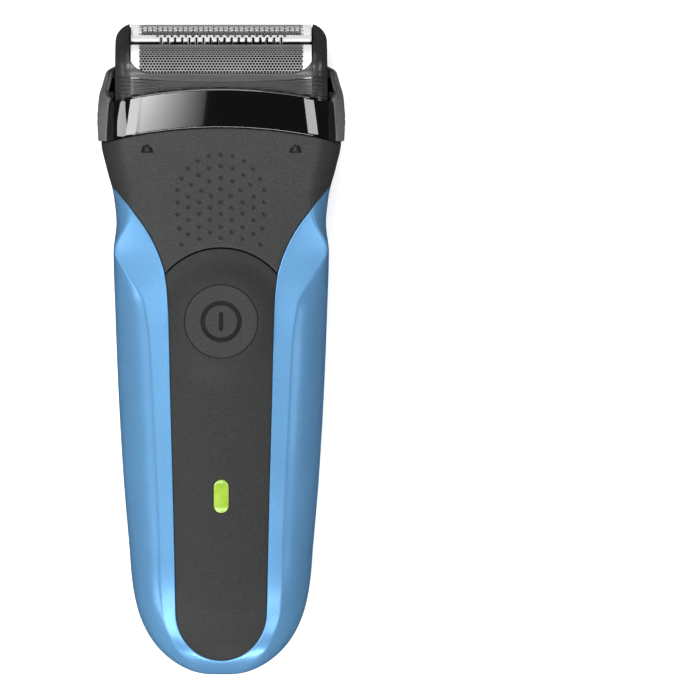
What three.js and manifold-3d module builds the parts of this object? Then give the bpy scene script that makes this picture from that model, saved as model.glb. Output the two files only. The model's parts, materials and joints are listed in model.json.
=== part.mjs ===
// A cordless foil shaver with twin foils and a middle trimmer, lying on its back.
// Millimetres. X points right, Y towards the shaving head and Z up, out of the front face.
// The origin is below the middle of the shaver, on the surface it lies on.
import * as THREE from 'three';
import { mergeVertices } from 'three/addons/utils/BufferGeometryUtils.js';
import Module from 'manifold-3d';

const wasm = await Module();
wasm.setup();

// ---------------------------------------------------------------- driving dimensions

// The handle's body, as [y, value] stations from the bottom end to the neck.
const HALF_WIDTH = [[-80, 20.4], [-50, 22.4], [-32, 23.9], [-10, 25.2], [10, 26], [24, 26.4], [31, 25.7],
  [38, 26.4], [45, 28.2], [51, 29.4], [60, 29.4]];
const FRONT_HEIGHT = [[-80, 33.2], [-50, 34], [-20, 34.6], [5, 34.5], [25, 33.8], [38, 33.8], [46, 34.3],
  [52, 35.4], [56, 36.6]];
// The shaver lies on the back's flat strip, which ends clearly at y = 35 so that it rests without rocking.
const BACK_HEIGHT = [[-80, 0], [35, 0], [41, 0.4], [50, 1.1], [58, 2.8], [64, 4.7]];
const BACK_FLAT_SHARE = 0.28; // half width of that strip, as a share of the body's
const BACK_CREASE_SHARE = 0.62; // where the back turns up into the side, the same way
// The crease between the front band and the side of the body, as a share of the half width.
const CREASE_SHARE = [[-80, 0.74], [-62, 0.7], [-45, 0.665], [-28, 0.66], [0, 0.675], [11, 0.72],
  [18.8, 0.876], [24.5, 0.985], [34.5, 0.845], [46, 0.82], [60, 0.82]];
const BOTTOM_END = -80.55;
const END_START = -50; // where the body starts to close towards its bottom end
const BODY_TOP = 62;
const PARTING_Z = 17.5; // height of the joint between the front and rear shells
const WALL = 2;
const SEAM = 0.1; // half of the gap between neighbouring skins
// Fall of the front face per square millimetre from its middle: it flattens towards the head.
const FRONT_CROWN = [[-80, 0.0075], [5, 0.0075], [50, 0.0015], [60, 0.0015]];
const SHOULDER_SLOPE = 0.62; // fall of the side facet at the crease

// The dark front panels, as [y, half width] stations.
const PANEL_EDGE = [[-64, 11.1], [-50, 11.4], [-33, 11.8], [-7, 12.5], [8, 12.8], [14, 13.2], [18.7, 13.8],
  [21.8, 14.7], [25.1, 16], [28, 17.5], [31, 19.4], [33.6, 21.4], [37.1, 24.3], [40.8, 27.4], [44, 31]];
const PANEL_END = -76.1;
const GRIP_EDGE = [[-58, 10.5], [-40, 11.5], [0, 13], [20, 15], [30, 19], [38, 25], [43, 31]];
const GRIP_END = -70;
const COVER_TOP = { middle: 54.2, side: 50.9 }; // where the front panel meets the gloss band
const GRIP_TOP = { middle: 59, side: 51.5 };
const COVER_HALF_WIDTH = 28;

const BUTTON_Y = 7;
const BUTTON_RADIUS = 8.9;
const BUTTON_PROUD = 0.35;
const BUTTON_STEPS = 12; // pairs of segments round the button and its hole
const BUTTON_DEPTH = 3.2;
const BUTTON_FLANGE_RADIUS = 10.1; // the flange under the panel that keeps the button in
const BUTTON_STEM = { radius: 2, from: 27.2, to: 31.6 }; // in Z, down to the switch's plunger
const BUTTON_SEAL = { outer: 12, inner: 10.6, from: 30.5, to: 31.2 };
const SEAM_ARC_RADIUS = 17.9; // the seam between the two front panels, about the button's centre
const LENS = { y: -35.75, halfWidth: 1.85, halfLength: 4.1, depth: 3, guideRadius: 1.5, guideFrom: 24.5,
  guideTo: 32 };
const CAP_NUB = { x: 18.1, y: 49.4, size: 1.7, proud: 0.5, rootZ: 33.2 };
const FIT = 0.15; // clearance round a piece that sits in a hole

// The head leans forward about X. Its own frame starts in the middle of the cassette's seat.
const SEAT = { y: 57.9, z: 20.3 };
const HEAD_TILT = THREE.MathUtils.degToRad(20);
const NECK = { halfWidth: 28.55, narrowing: 0.095, halfDepth: 16.6, corner: 8, innerCorner: 5, bottom: -9,
  top: 7.5, wall: 1.5, floor: 3, hollowHalfWidth: 19.6, hollowHalfDepth: 12.4, bandWall: 1.2, bandDepth: 8,
  bandHeight: 9.5 };
const CASSETTE = { halfWidth: 25.95, halfDepth: 14.8, corner: 4.6, wall: 1.2, bottom: 1.5, wallTop: 15.3,
  capRadius: 6.2, capInner: 22.4, capFloor: 12.2, bridgeHalfDepth: 2.4, frontCorner: 5.5, frontTop: 21 };
const FOIL = { pitch: 7.5, radius: 5.8, thickness: 0.4, centre: 14.2, legBottom: 8.5, halfLength: 22.1 };
const TRIMMER = { halfDepth: 1.45, top: 19.6, bottom: 9, teeth: 18, pitch: 1.73, wall: 0.4, slotDepth: 1.4 };
const TRIMMER_BLADE = { halfLength: 18.5, bottom: 12.2, gap: 0.15, toothHeight: 2.2, forkHalfWidth: 3,
  forkBottom: 8, forkSlot: 0.9, forkSlotTop: 11.9 };
const CUTTER = { radius: 5.1, halfLength: 19.6, blades: 11, bladeThickness: 1, core: 3.4 };
// The bar under the blades, from its top, with narrower ends and a pocket for the drive pin.
const CARRIER = { halfWidth: 17, halfDepth: 3.2, top: -0.2, bottom: -6.2, endFrom: 5, endBottom: -2.6,
  pinHalfWidth: 1.3, pinHalfDepth: 2.4, pinTop: -1.5 };
const STROKE = 1.2; // the cutters' travel to each side
const RELEASE = { inner: 27.3, travel: 1.1, centre: 2, halfHeight: 8.2, halfDepth: 6.5, roundness: 30 };
// The release buttons' outer face, as [head Y, distance from the middle] stations.
const RELEASE_FACE = [[-7.2, 29.7], [-4.6, 30.3], [-1.4, 30.4], [1.8, 30.15], [5, 29.3], [8.2, 28.4],
  [11, 27.6]];
const SPRING = { inner: 21.8, length: 5.3, y: -3.4, radius: 1.4, wire: 0.25, turns: 4 };
const BOSS = { x: 17, radius: 3, bore: 1.1, bottom: -10.2 }; // the head screws' bosses

const DRIVE_OPENING = { halfWidth: 4.4, halfDepth: 10.6 };
const DRIVE_SEAL = { holeHalfWidth: 2.6, holeHalfDepth: 9.2, bottom: -2.6, top: -1.2 };
const BRIDGE = { halfWidth: 12, halfDepth: 9.5, bottom: -7.6, top: -5.2, slotTop: -6 };
const DRIVE_PINS = [
  { place: 'front', z: FOIL.pitch, radius: 0.9, top: 10.7 },
  { place: 'middle', z: 0, radius: 0.6, top: 9.9 },
  { place: 'rear', z: -FOIL.pitch, radius: 0.9, top: 10.7 },
];
const FLEXURE = { x: 12.6, thickness: 0.5, bottom: -10.2, halfDepth: 7 };
const MOTOR_BRACKET = { halfWidth: 20.5, halfDepth: 10.4, bottom: -12, top: -10.5, hole: 4.2,
  screwHole: 1.3 };
const MOTOR = { radius: 7.2, top: -12.2, bottom: -31, shaftRadius: 0.9, shaftLength: 8, bore: 1.2 };
const ECCENTRIC = { offset: 1.2, pinRadius: 0.8, wheelRadius: 3, bottom: -10, top: -8.6, pinTop: -6.4 };
const BATTERY = { radius: 7.25, from: -55, to: -5, z: 11.3 };
const CHASSIS = { halfWidth: 9.5, from: -56, to: 22, floorZ: 2.7, rimZ: 21, wall: 1.2 };
const BOARD = { halfWidth: 10.5, from: -52, to: 16, z: 21.2, thickness: 1.2, screwX: 5, screwInset: 3,
  screwHole: 1.1 };
const BOARD_TOP = BOARD.z + BOARD.thickness + 0.1; // what is soldered to the board starts here
const TAB = { halfWidth: 4, thickness: 0.5, gap: 0.3, from: 6, to: 19 }; // the battery's tabs, in Z
const SWITCH = { half: 3.2, height: 3.2, bore: 1.5, plungerRadius: 1.2, plungerFrom: 25, plungerTo: 27 };
const SOCKET = { z: 17.5, halfWidth: 7.2, halfHeight: 3.9, rim: -78.6, depth: 11.5, wall: 1.2, pinX: 2.6,
  pinRadius: 0.75, recess: 9.6, pinLength: 4.6 };

const STEPS = 5; // pairs of segments on each arc of an outline
const CORNER_STEPS = 2; // the same for the corners of a rounded rectangle
const FAR = 90; // beyond the shaver in every direction

const COLOURS = {
  blue: { color: 0x4f94d4, roughness: 0.32, metalness: 0.25 },
  charcoal: { color: 0x3a3b3b, roughness: 0.62, metalness: 0 },
  blackRubber: { color: 0x2a2b2c, roughness: 0.8, metalness: 0 },
  glossBlack: { color: 0x050506, roughness: 0.06, metalness: 0 },
  steel: { color: 0xc9cbce, roughness: 0.28, metalness: 1 },
  darkPlastic: { color: 0x1d1e1f, roughness: 0.5, metalness: 0 },
  whitePlastic: { color: 0xdadbd8, roughness: 0.5, metalness: 0 },
  green: { color: 0xa6dc32, roughness: 0.3, metalness: 0 },
  boardGreen: { color: 0x1c5a38, roughness: 0.5, metalness: 0 },
  brass: { color: 0xc7a24a, roughness: 0.35, metalness: 1 },
};

// ---------------------------------------------------------------- curves and shapes

// The value at y of a smooth curve through stations [[y, value], ...] that never overshoots them.
function along(stations, y) {
  const last = stations.length - 1;
  if (y <= stations[0][0]) return stations[0][1];
  if (y >= stations[last][0]) return stations[last][1];
  const slope = (i) => (stations[i + 1][1] - stations[i][1]) / (stations[i + 1][0] - stations[i][0]);
  const tangent = (i) => {
    if (i === 0) return slope(0);
    if (i === last) return slope(last - 1);
    const before = slope(i - 1);
    const after = slope(i);
    return before * after <= 0 ? 0 : (2 * before * after) / (before + after);
  };
  let i = 0;
  while (y > stations[i + 1][0]) i += 1;
  const span = stations[i + 1][0] - stations[i][0];
  const t = (y - stations[i][0]) / span;
  const rise = stations[i + 1][1] - stations[i][1];
  const a = tangent(i) * span - rise;
  const b = rise - tangent(i + 1) * span;
  return stations[i][1] + rise * t + t * (1 - t) * (a * (1 - t) + b * t);
}

// A share from 1 on the grip to 0 at the bottom end of a body skin that is inset by that much.
function endTaper(y, inset, power, root) {
  const share = Math.min(1, Math.max(0, (END_START - y) / (END_START - BOTTOM_END - inset)));
  return (1 - share ** power) ** (1 / root);
}

// The body's cross-section at y as (x, z) points, clockwise from the middle of the front face.
function bodyRing(y, inset) {
  const sideTaper = endTaper(y, inset, 3, 2);
  const frontTaper = endTaper(y, inset, 3.2, 2.2);
  const backTaper = endTaper(y, inset, 2.6, 2);
  const halfWidth = (along(HALF_WIDTH, y) - inset) * sideTaper;
  const front = PARTING_Z + (along(FRONT_HEIGHT, y) - inset - PARTING_Z) * frontTaper;
  const back = PARTING_Z - (PARTING_Z - along(BACK_HEIGHT, y) - inset) * backTaper;
  const crease = halfWidth * along(CREASE_SHARE, y);
  const crown = along(FRONT_CROWN, y);
  const creaseZ = front - crown * crease ** 2;
  const flat = BACK_FLAT_SHARE * halfWidth;
  const backCrease = BACK_CREASE_SHARE * halfWidth;
  const backRise = 1.2 * backTaper;
  const half = [];
  const add = (curve, steps) => {
    for (let k = 0; k < steps; k += 1) half.push(curve(k / steps));
  };
  add((t) => new THREE.Vector2(crease * t, front - crown * (crease * t) ** 2), 3);
  const side = new THREE.QuadraticBezierCurve(
    new THREE.Vector2(crease, creaseZ),
    new THREE.Vector2(halfWidth, creaseZ - SHOULDER_SLOPE * (halfWidth - crease)),
    new THREE.Vector2(halfWidth, PARTING_Z),
  );
  add((t) => side.getPoint(t), 3);
  const rear = new THREE.QuadraticBezierCurve(
    new THREE.Vector2(halfWidth, PARTING_Z),
    new THREE.Vector2(halfWidth, back + 5 * backTaper),
    new THREE.Vector2(backCrease, back + backRise),
  );
  add((t) => rear.getPoint(t), 3);
  add((t) => new THREE.Vector2(THREE.MathUtils.lerp(backCrease, flat, t), back + backRise * (1 - t) ** 2), 2);
  half.push(new THREE.Vector2(flat, back));
  const mirrored = half.slice(1).reverse().map((p) => new THREE.Vector2(-p.x, p.y));
  return [...half, ...mirrored];
}

// The y values of the body's rings: close together where the bottom end curves in.
function ringPlaces(inset) {
  const places = [];
  const endSteps = 7;
  for (let k = 0; k < endSteps; k += 1) {
    const share = Math.min(0.997, Math.sin(((endSteps - k) / endSteps) * (Math.PI / 2)));
    places.push(END_START - share * (END_START - BOTTOM_END - inset));
  }
  return [...places, END_START, -30, -8, 8, 17, 24.5, 29, 35, 41, 46, 51, BODY_TOP];
}

// A closed surface through equal rings of (x, z) points, one for each place on Y.
function loft(rings, places) {
  const positions = [];
  const faces = [];
  const count = rings[0].length;
  rings.forEach((ring, i) => ring.forEach((p) => positions.push(p.x, places[i], p.y)));
  for (let i = 0; i < rings.length - 1; i += 1) {
    for (let j = 0; j < count; j += 1) {
      const a = i * count + j;
      const b = i * count + ((j + 1) % count);
      faces.push(a, b, a + count, b, b + count, a + count);
    }
  }
  const addCap = (ring, facesUp) => {
    const centre = positions.length / 3;
    const points = rings[ring];
    const middleZ = points.reduce((sum, p) => sum + p.y, 0) / count;
    positions.push(0, places[ring], middleZ);
    for (let j = 0; j < count; j += 1) {
      const a = ring * count + j;
      const b = ring * count + ((j + 1) % count);
      faces.push(centre, facesUp ? a : b, facesUp ? b : a);
    }
  };
  addCap(0, false);
  addCap(rings.length - 1, true);
  const geometry = new THREE.BufferGeometry();
  geometry.setAttribute('position', new THREE.Float32BufferAttribute(positions, 3));
  geometry.setIndex(faces);
  return geometry;
}

function rectangle(halfWidth, halfHeight) {
  const shape = new THREE.Shape();
  shape.moveTo(-halfWidth, -halfHeight).lineTo(halfWidth, -halfHeight);
  return shape.lineTo(halfWidth, halfHeight).lineTo(-halfWidth, halfHeight);
}

function roundedRectangle(halfWidth, halfHeight, corner) {
  const x = halfWidth - corner;
  const y = halfHeight - corner;
  const shape = new THREE.Shape();
  shape.absarc(x, y, corner, 0, Math.PI / 2);
  shape.absarc(-x, y, corner, Math.PI / 2, Math.PI);
  shape.absarc(-x, -y, corner, Math.PI, 1.5 * Math.PI);
  return shape.absarc(x, -y, corner, 1.5 * Math.PI, 2 * Math.PI);
}

function circle(radius, x = 0, y = 0) {
  return new THREE.Shape().absarc(x, y, radius, 0, 2 * Math.PI);
}

function withHole(shape, hole) {
  shape.holes.push(new THREE.Path(hole.getPoints(STEPS)));
  return shape;
}

function alongZ(shape, from, to, steps = STEPS) {
  const settings = { depth: to - from, bevelEnabled: false, curveSegments: steps };
  return new THREE.ExtrudeGeometry(shape, settings).translate(0, 0, from);
}

// The shape's x and y lie along X and Z.
function alongY(shape, from, to, steps = STEPS) {
  return alongZ(shape, 0, to - from, steps).rotateX(Math.PI / 2).translate(0, to, 0);
}

// The shape's x and y lie along Z and Y.
function alongX(shape, from, to, steps = STEPS) {
  return alongZ(shape, 0, to - from, steps).rotateY(-Math.PI / 2).translate(to, 0, 0);
}

function box(x0, x1, y0, y1, z0, z1) {
  const geometry = new THREE.BoxGeometry(x1 - x0, y1 - y0, z1 - z0);
  return geometry.translate((x0 + x1) / 2, (y0 + y1) / 2, (z0 + z1) / 2);
}

// ---------------------------------------------------------------- solids

function solid(geometry) {
  const bare = geometry.clone();
  bare.deleteAttribute('normal');
  bare.deleteAttribute('uv');
  const merged = mergeVertices(bare, 1e-4);
  return new wasm.Manifold(new wasm.Mesh({
    numProp: 3,
    vertProperties: merged.attributes.position.array,
    triVerts: new Uint32Array(merged.index.array),
  }));
}

function geometryOf(made) {
  const mesh = made.getMesh();
  const geometry = new THREE.BufferGeometry();
  geometry.setAttribute('position', new THREE.BufferAttribute(mesh.vertProperties, 3));
  geometry.setIndex(new THREE.BufferAttribute(mesh.triVerts, 1));
  const flat = geometry.toNonIndexed();
  flat.computeVertexNormals();
  return flat;
}

const join = (...solids) => solids.reduce((sum, s) => sum.add(s));
const cut = (first, ...others) => others.reduce((rest, s) => rest.subtract(s), first);

// A solid built in the head's frame, put where it lies in the body's frame.
const headFrame = new THREE.Matrix4().makeRotationX(HEAD_TILT).setPosition(0, SEAT.y, SEAT.z);
const headSolid = (geometry) => solid(geometry.applyMatrix4(headFrame));

function body(inset) {
  const places = ringPlaces(inset);
  return solid(loft(places.map((y) => bodyRing(y, inset)), places));
}

const skin = cut(body(0), body(WALL));
const frontHalf = solid(box(-FAR, FAR, -FAR, FAR, PARTING_Z + SEAM, FAR));
const rearHalf = solid(box(-FAR, FAR, -FAR, FAR, -FAR, PARTING_Z - SEAM));

// A plan outline that follows edge stations on both sides, with a rounded lower end, grown by some amount.
function edgeOutline(edge, end, grow) {
  const [firstY, firstWidth] = edge[0];
  const [lastY, lastWidth] = edge.at(-1);
  const steps = 16;
  const side = [];
  for (let k = 1; k < steps; k += 1) {
    const y = THREE.MathUtils.lerp(firstY, lastY, Math.sin((k / steps) * (Math.PI / 2)));
    side.push([along(edge, y) + grow, y]);
  }
  side.push([lastWidth + grow, lastY], [lastWidth + grow, FAR]);
  const shape = new THREE.Shape();
  shape.absellipse(0, firstY, firstWidth + grow, firstY - end + grow, Math.PI, 2 * Math.PI);
  side.forEach(([x, y]) => shape.lineTo(x, y));
  side.reverse().forEach(([x, y]) => shape.lineTo(-x, y));
  return shape;
}

// The plan region below an edge that arches from its sides up to its middle.
function belowArch({ middle, side }, shift) {
  const steps = 10;
  const shape = new THREE.Shape();
  shape.moveTo(-COVER_HALF_WIDTH - 10, -FAR);
  shape.lineTo(COVER_HALF_WIDTH + 10, -FAR);
  shape.lineTo(COVER_HALF_WIDTH + 10, side + shift);
  for (let k = 0; k <= steps; k += 1) {
    const share = 1 - (2 * k) / steps;
    shape.lineTo(share * COVER_HALF_WIDTH, side + (middle - side) * (1 - share ** 2) + shift);
  }
  return shape.lineTo(-COVER_HALF_WIDTH - 10, side + shift);
}

// Everything below the seam arc, where the lower front panel is.
function belowSeamArc(grow) {
  const radius = SEAM_ARC_RADIUS + grow;
  const shape = new THREE.Shape();
  shape.moveTo(-radius, -FAR).lineTo(radius, -FAR).lineTo(radius, BUTTON_Y);
  shape.absarc(0, BUTTON_Y, radius, 0, Math.PI);
  return solid(alongZ(shape, 0, FAR));
}

const panelRegion = (grow) => solid(alongZ(edgeOutline(PANEL_EDGE, PANEL_END, grow), 0, FAR, 4));
const gripRegion = (grow) => solid(alongZ(edgeOutline(GRIP_EDGE, GRIP_END, grow), -FAR, FAR, 4));
const frontPanels = (grow) => skin.intersect(frontHalf).intersect(panelRegion(grow));
const belowCoverTop = solid(alongZ(belowArch(COVER_TOP, -SEAM), 0, FAR));
const belowGripTop = solid(alongZ(belowArch(GRIP_TOP, -SEAM), -FAR, FAR));

// ---------------------------------------------------------------- the handle's skins

function socketOutline(grow) {
  const halfHeight = SOCKET.halfHeight + grow;
  return roundedRectangle(SOCKET.halfWidth + grow, halfHeight, halfHeight - 0.2);
}

const socketHole = solid(alongY(socketOutline(FIT), -FAR, BATTERY.from).translate(0, 0, SOCKET.z));

function frontShell() {
  return cut(skin.intersect(frontHalf), panelRegion(SEAM), socketHole);
}

function rearShell() {
  return cut(skin.intersect(rearHalf), gripRegion(SEAM), socketHole);
}

function capNub(side) {
  const { x, y, size, proud, rootZ } = CAP_NUB;
  const nub = box(side * x - size / 2, side * x + size / 2, y - size / 2, y + size / 2, rootZ, FAR);
  return body(-proud).intersect(solid(nub));
}

function upperFrontPanel() {
  const panel = cut(frontPanels(-SEAM), belowSeamArc(SEAM)).intersect(belowCoverTop);
  return join(panel, capNub(-1), capNub(1));
}

function lensOutline(grow) {
  const { halfWidth, halfLength, y } = LENS;
  const radius = halfWidth + grow;
  const shape = new THREE.Shape();
  shape.absarc(0, y + halfLength - halfWidth, radius, 0, Math.PI);
  return shape.absarc(0, y - halfLength + halfWidth, radius, Math.PI, 2 * Math.PI);
}

function lowerFrontPanel() {
  const below = frontPanels(-SEAM).intersect(belowSeamArc(-SEAM));
  const buttonHole = solid(alongZ(circle(BUTTON_RADIUS + FIT, 0, BUTTON_Y), 0, FAR, BUTTON_STEPS));
  return cut(below, buttonHole, solid(alongZ(lensOutline(SEAM), 0, FAR)));
}

function rearGrip() {
  return skin.intersect(rearHalf).intersect(gripRegion(-SEAM)).intersect(belowGripTop);
}

function powerButton() {
  const under = body(BUTTON_DEPTH);
  const round = (radius, steps) => solid(alongZ(circle(radius, 0, BUTTON_Y), PARTING_Z, FAR, steps));
  const cap = cut(body(-BUTTON_PROUD), under).intersect(round(BUTTON_RADIUS, BUTTON_STEPS));
  const flange = cut(body(WALL + 0.3), under).intersect(round(BUTTON_FLANGE_RADIUS, 6));
  const stem = solid(alongZ(circle(BUTTON_STEM.radius, 0, BUTTON_Y), BUTTON_STEM.from, BUTTON_STEM.to));
  return join(cap, flange, stem);
}

function buttonSeal() {
  const { outer, inner, from, to } = BUTTON_SEAL;
  return alongZ(withHole(circle(outer, 0, BUTTON_Y), circle(inner, 0, BUTTON_Y)), from, to);
}

function indicatorLens() {
  const { y, depth, guideRadius, guideFrom, guideTo } = LENS;
  const face = cut(body(-FIT), body(depth)).intersect(solid(alongZ(lensOutline(0), PARTING_Z, FAR)));
  return join(face, solid(alongZ(circle(guideRadius, 0, y), guideFrom, guideTo)));
}

// ---------------------------------------------------------------- the neck

// The neck's block between two heights in the head's frame, narrowing upwards, grown by some amount.
function neckBlock(grow, corner, from, to) {
  const ringAt = (y) => {
    const halfWidth = NECK.halfWidth - NECK.narrowing * y + grow;
    return roundedRectangle(halfWidth, NECK.halfDepth + grow, corner).getPoints(CORNER_STEPS).reverse();
  };
  return headSolid(loft([ringAt(from), ringAt(to)], [from, to]));
}

// The gloss band's own space: a strip of the neck's front, between two arched edges.
function bandSpace(grow) {
  const { corner, innerCorner, bandWall, bandHeight, bandDepth } = NECK;
  const tube = cut(neckBlock(grow, corner, -20, 30), neckBlock(-bandWall - grow, innerCorner, -21, 31));
  const strip = solid(alongZ(belowArch(COVER_TOP, bandHeight + grow), 0, FAR));
  const below = solid(alongZ(belowArch(COVER_TOP, SEAM - grow), -1, FAR + 1));
  const front = headSolid(box(-FAR, FAR, -FAR, FAR, bandDepth - grow, FAR));
  return cut(tube.intersect(strip), below).intersect(front);
}

// The part of the neck's block that neither cover takes up.
function neckRoom() {
  const aboveFront = cut(frontHalf, solid(alongZ(belowArch(COVER_TOP, 2 * SEAM), -1, FAR + 1)));
  const aboveRear = cut(
    solid(box(-FAR, FAR, -FAR, FAR, -FAR, PARTING_Z + SEAM)),
    solid(alongZ(belowArch(GRIP_TOP, 2 * SEAM), -FAR - 1, FAR + 1)),
  );
  return join(aboveFront, aboveRear, body(WALL + 0.3));
}

// Puts a solid that was made for the right-hand side onto either side.
const onSide = (made, side) => (side > 0 ? made : made.mirror([1, 0, 0]));

// The pocket and through hole for the right-hand release button and its spring.
function releaseWindow() {
  const pad = headSolid(alongX(releaseOutline(0.3), RELEASE.inner - RELEASE.travel - 0.2, 35, 9));
  const bore = headSolid(alongX(circle(SPRING.radius + 0.5, 0, SPRING.y), SPRING.inner - 0.3, 30));
  return join(pad, bore);
}

function headBase() {
  const { corner, innerCorner, bottom, top, wall, floor, hollowHalfWidth, hollowHalfDepth, bandDepth } = NECK;
  const tube = cut(neckBlock(0, corner, bottom, top), neckBlock(-wall, innerCorner, -0.3, 30));
  const hollowPlan = roundedRectangle(hollowHalfWidth, hollowHalfDepth, 4);
  const hollow = headSolid(alongY(hollowPlan, -20, -floor - 0.3, CORNER_STEPS));
  const { halfWidth, halfDepth } = DRIVE_OPENING;
  const opening = headSolid(box(-halfWidth, halfWidth, -20, 5, -halfDepth, halfDepth));
  const frontRim = headSolid(box(-FAR, FAR, -0.3, FAR, bandDepth - FIT, FAR));
  let base = cut(tube, hollow, opening, frontRim, bandSpace(FIT)).intersect(neckRoom());
  for (const side of [-1, 1]) {
    const boss = headSolid(alongY(circle(BOSS.radius, side * BOSS.x, 0), BOSS.bottom, -floor));
    const bore = headSolid(alongY(circle(BOSS.bore, side * BOSS.x, 0), BOSS.bottom - 1, -floor - 1));
    base = cut(join(base, boss), bore, onSide(releaseWindow(), side));
  }
  return base;
}

function glossBand() {
  return bandSpace(0);
}

function releaseOutline(grow) {
  const { centre, halfHeight, halfDepth } = RELEASE;
  return new THREE.Shape().absellipse(0, centre, halfDepth + grow, halfHeight + grow, 0, 2 * Math.PI);
}

// A pad on the side of the neck that is pressed inwards to free the cassette.
function releaseButton() {
  const { inner: inside, roundness } = RELEASE;
  const profile = new THREE.Shape().moveTo(inside, -12);
  profile.lineTo(RELEASE_FACE[0][1], -12).lineTo(RELEASE_FACE[0][1], RELEASE_FACE[0][0]);
  profile.splineThru(RELEASE_FACE.slice(1).map(([y, x]) => new THREE.Vector2(x, y)));
  profile.lineTo(inside, RELEASE_FACE.at(-1)[0]);
  const pad = solid(alongX(releaseOutline(0), inside, 32, 9)).intersect(solid(alongZ(profile, -20, 20, 1)));
  const round = solid(alongY(circle(roundness, RELEASE_FACE[2][1] - roundness, 0), -20, 20, 30));
  return pad.intersect(round);
}

// ---------------------------------------------------------------- the foil cassette, in the head's frame

// The side profile of the cassette's end caps: two foil arcs with a bridge over the trimmer.
function capProfile() {
  const { halfDepth, capRadius, bridgeHalfDepth, bottom } = CASSETTE;
  const bridgeTop = FOIL.centre + capRadius;
  const shape = new THREE.Shape();
  shape.moveTo(halfDepth, bottom).lineTo(halfDepth, FOIL.centre - 2);
  shape.absarc(FOIL.pitch, FOIL.centre, capRadius, 0.1, Math.PI / 2);
  shape.lineTo(bridgeHalfDepth, bridgeTop).lineTo(-bridgeHalfDepth, bridgeTop);
  shape.absarc(-FOIL.pitch, FOIL.centre, capRadius, Math.PI / 2, Math.PI - 0.1);
  return shape.lineTo(-halfDepth, FOIL.centre - 2).lineTo(-halfDepth, bottom);
}

// The cassette seen from the front, with its top corners rounded.
function cassetteFront() {
  const { halfWidth, frontCorner: corner, frontTop: top } = CASSETTE;
  const shape = new THREE.Shape();
  shape.moveTo(-halfWidth, -1).lineTo(halfWidth, -1);
  shape.absarc(halfWidth - corner, top - corner, corner, 0, Math.PI / 2);
  return shape.absarc(-halfWidth + corner, top - corner, corner, Math.PI / 2, Math.PI);
}

function foilFrame() {
  const { halfWidth, halfDepth, corner, wall, bottom, wallTop, capInner, capFloor } = CASSETTE;
  const prism = (inset, from, to) => {
    const plan = roundedRectangle(halfWidth - inset, halfDepth - inset, corner - inset);
    return solid(alongY(plan, from, to, CORNER_STEPS));
  };
  const between = solid(box(-capInner, capInner, -5, 40, -FAR, FAR));
  const block = solid(alongX(capProfile(), -halfWidth, halfWidth, 3)).intersect(prism(0, bottom, 30));
  const seenFromFront = solid(alongZ(cassetteFront(), -FAR, FAR, 3));
  const outside = join(cut(block, between), prism(0, bottom, wallTop)).intersect(seenFromFront);
  return cut(outside, prism(wall, -5, capFloor), prism(wall, -5, 40).intersect(between));
}

// A thin sheet bent over its cutter, open below.
function foil() {
  const { radius, thickness, centre, legBottom, halfLength } = FOIL;
  const shape = new THREE.Shape();
  shape.moveTo(radius, legBottom);
  shape.absarc(0, centre, radius, 0, Math.PI);
  shape.lineTo(-radius, legBottom).lineTo(-radius + thickness, legBottom);
  shape.absarc(0, centre, radius - thickness, Math.PI, 0, true);
  shape.lineTo(radius - thickness, legBottom);
  return alongX(shape, -halfLength, halfLength, 6);
}

// A folded steel strip with slots across its top.
function trimmerComb() {
  const { halfDepth, top, bottom, teeth, pitch, wall, slotDepth } = TRIMMER;
  const strip = solid(box(-FOIL.halfLength, FOIL.halfLength, bottom, top, -halfDepth, halfDepth));
  const slots = [solid(box(-FAR, FAR, bottom - 1, top - wall, -halfDepth + wall, halfDepth - wall))];
  const slotStart = -halfDepth + wall + 0.05;
  for (let k = 0; k < teeth; k += 1) {
    const x = (k - (teeth - 1) / 2) * pitch;
    const slot = box(x - pitch / 4, x + pitch / 4, top - slotDepth, top + 1, slotStart, halfDepth + 1);
    slots.push(solid(slot));
  }
  return cut(strip, ...slots);
}

// The moving comb under the slotted strip, with a fork below for its drive pin.
function trimmerBlade() {
  const { halfDepth, top, teeth, pitch, wall } = TRIMMER;
  const { halfLength, bottom, gap, toothHeight } = TRIMMER_BLADE;
  const { forkHalfWidth, forkBottom, forkSlot, forkSlotTop } = TRIMMER_BLADE;
  const half = halfDepth - wall - gap;
  const strip = solid(box(-halfLength, halfLength, bottom, top - wall - gap, -half, half));
  const fork = cut(
    solid(box(-forkHalfWidth, forkHalfWidth, forkBottom, bottom + 0.2, -half, half)),
    solid(box(-forkSlot, forkSlot, forkBottom - 1, forkSlotTop, -half - 1, half + 1)),
  );
  const gaps = [];
  for (let k = 0; k <= teeth; k += 1) {
    const x = (k - teeth / 2) * pitch;
    gaps.push(solid(box(x - pitch / 5, x + pitch / 5, top - toothHeight, top, -half - 1, half + 1)));
  }
  return cut(join(strip, fork), ...gaps);
}

function halfDisc(radius) {
  return new THREE.Shape().moveTo(-radius, 0).lineTo(radius, 0).absarc(0, 0, radius, 0, Math.PI);
}

// Thin half discs in a row on a round core, which the foil is bent over.
function cutterBlades() {
  const { radius, halfLength, blades, bladeThickness, core } = CUTTER;
  const pitch = (2 * halfLength - bladeThickness) / (blades - 1);
  const parts = [solid(alongX(halfDisc(core), -halfLength, halfLength, 2))];
  for (let k = 0; k < blades; k += 1) {
    const from = -halfLength + k * pitch;
    parts.push(solid(alongX(halfDisc(radius), from, from + bladeThickness, 4)));
  }
  return join(...parts);
}

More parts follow.
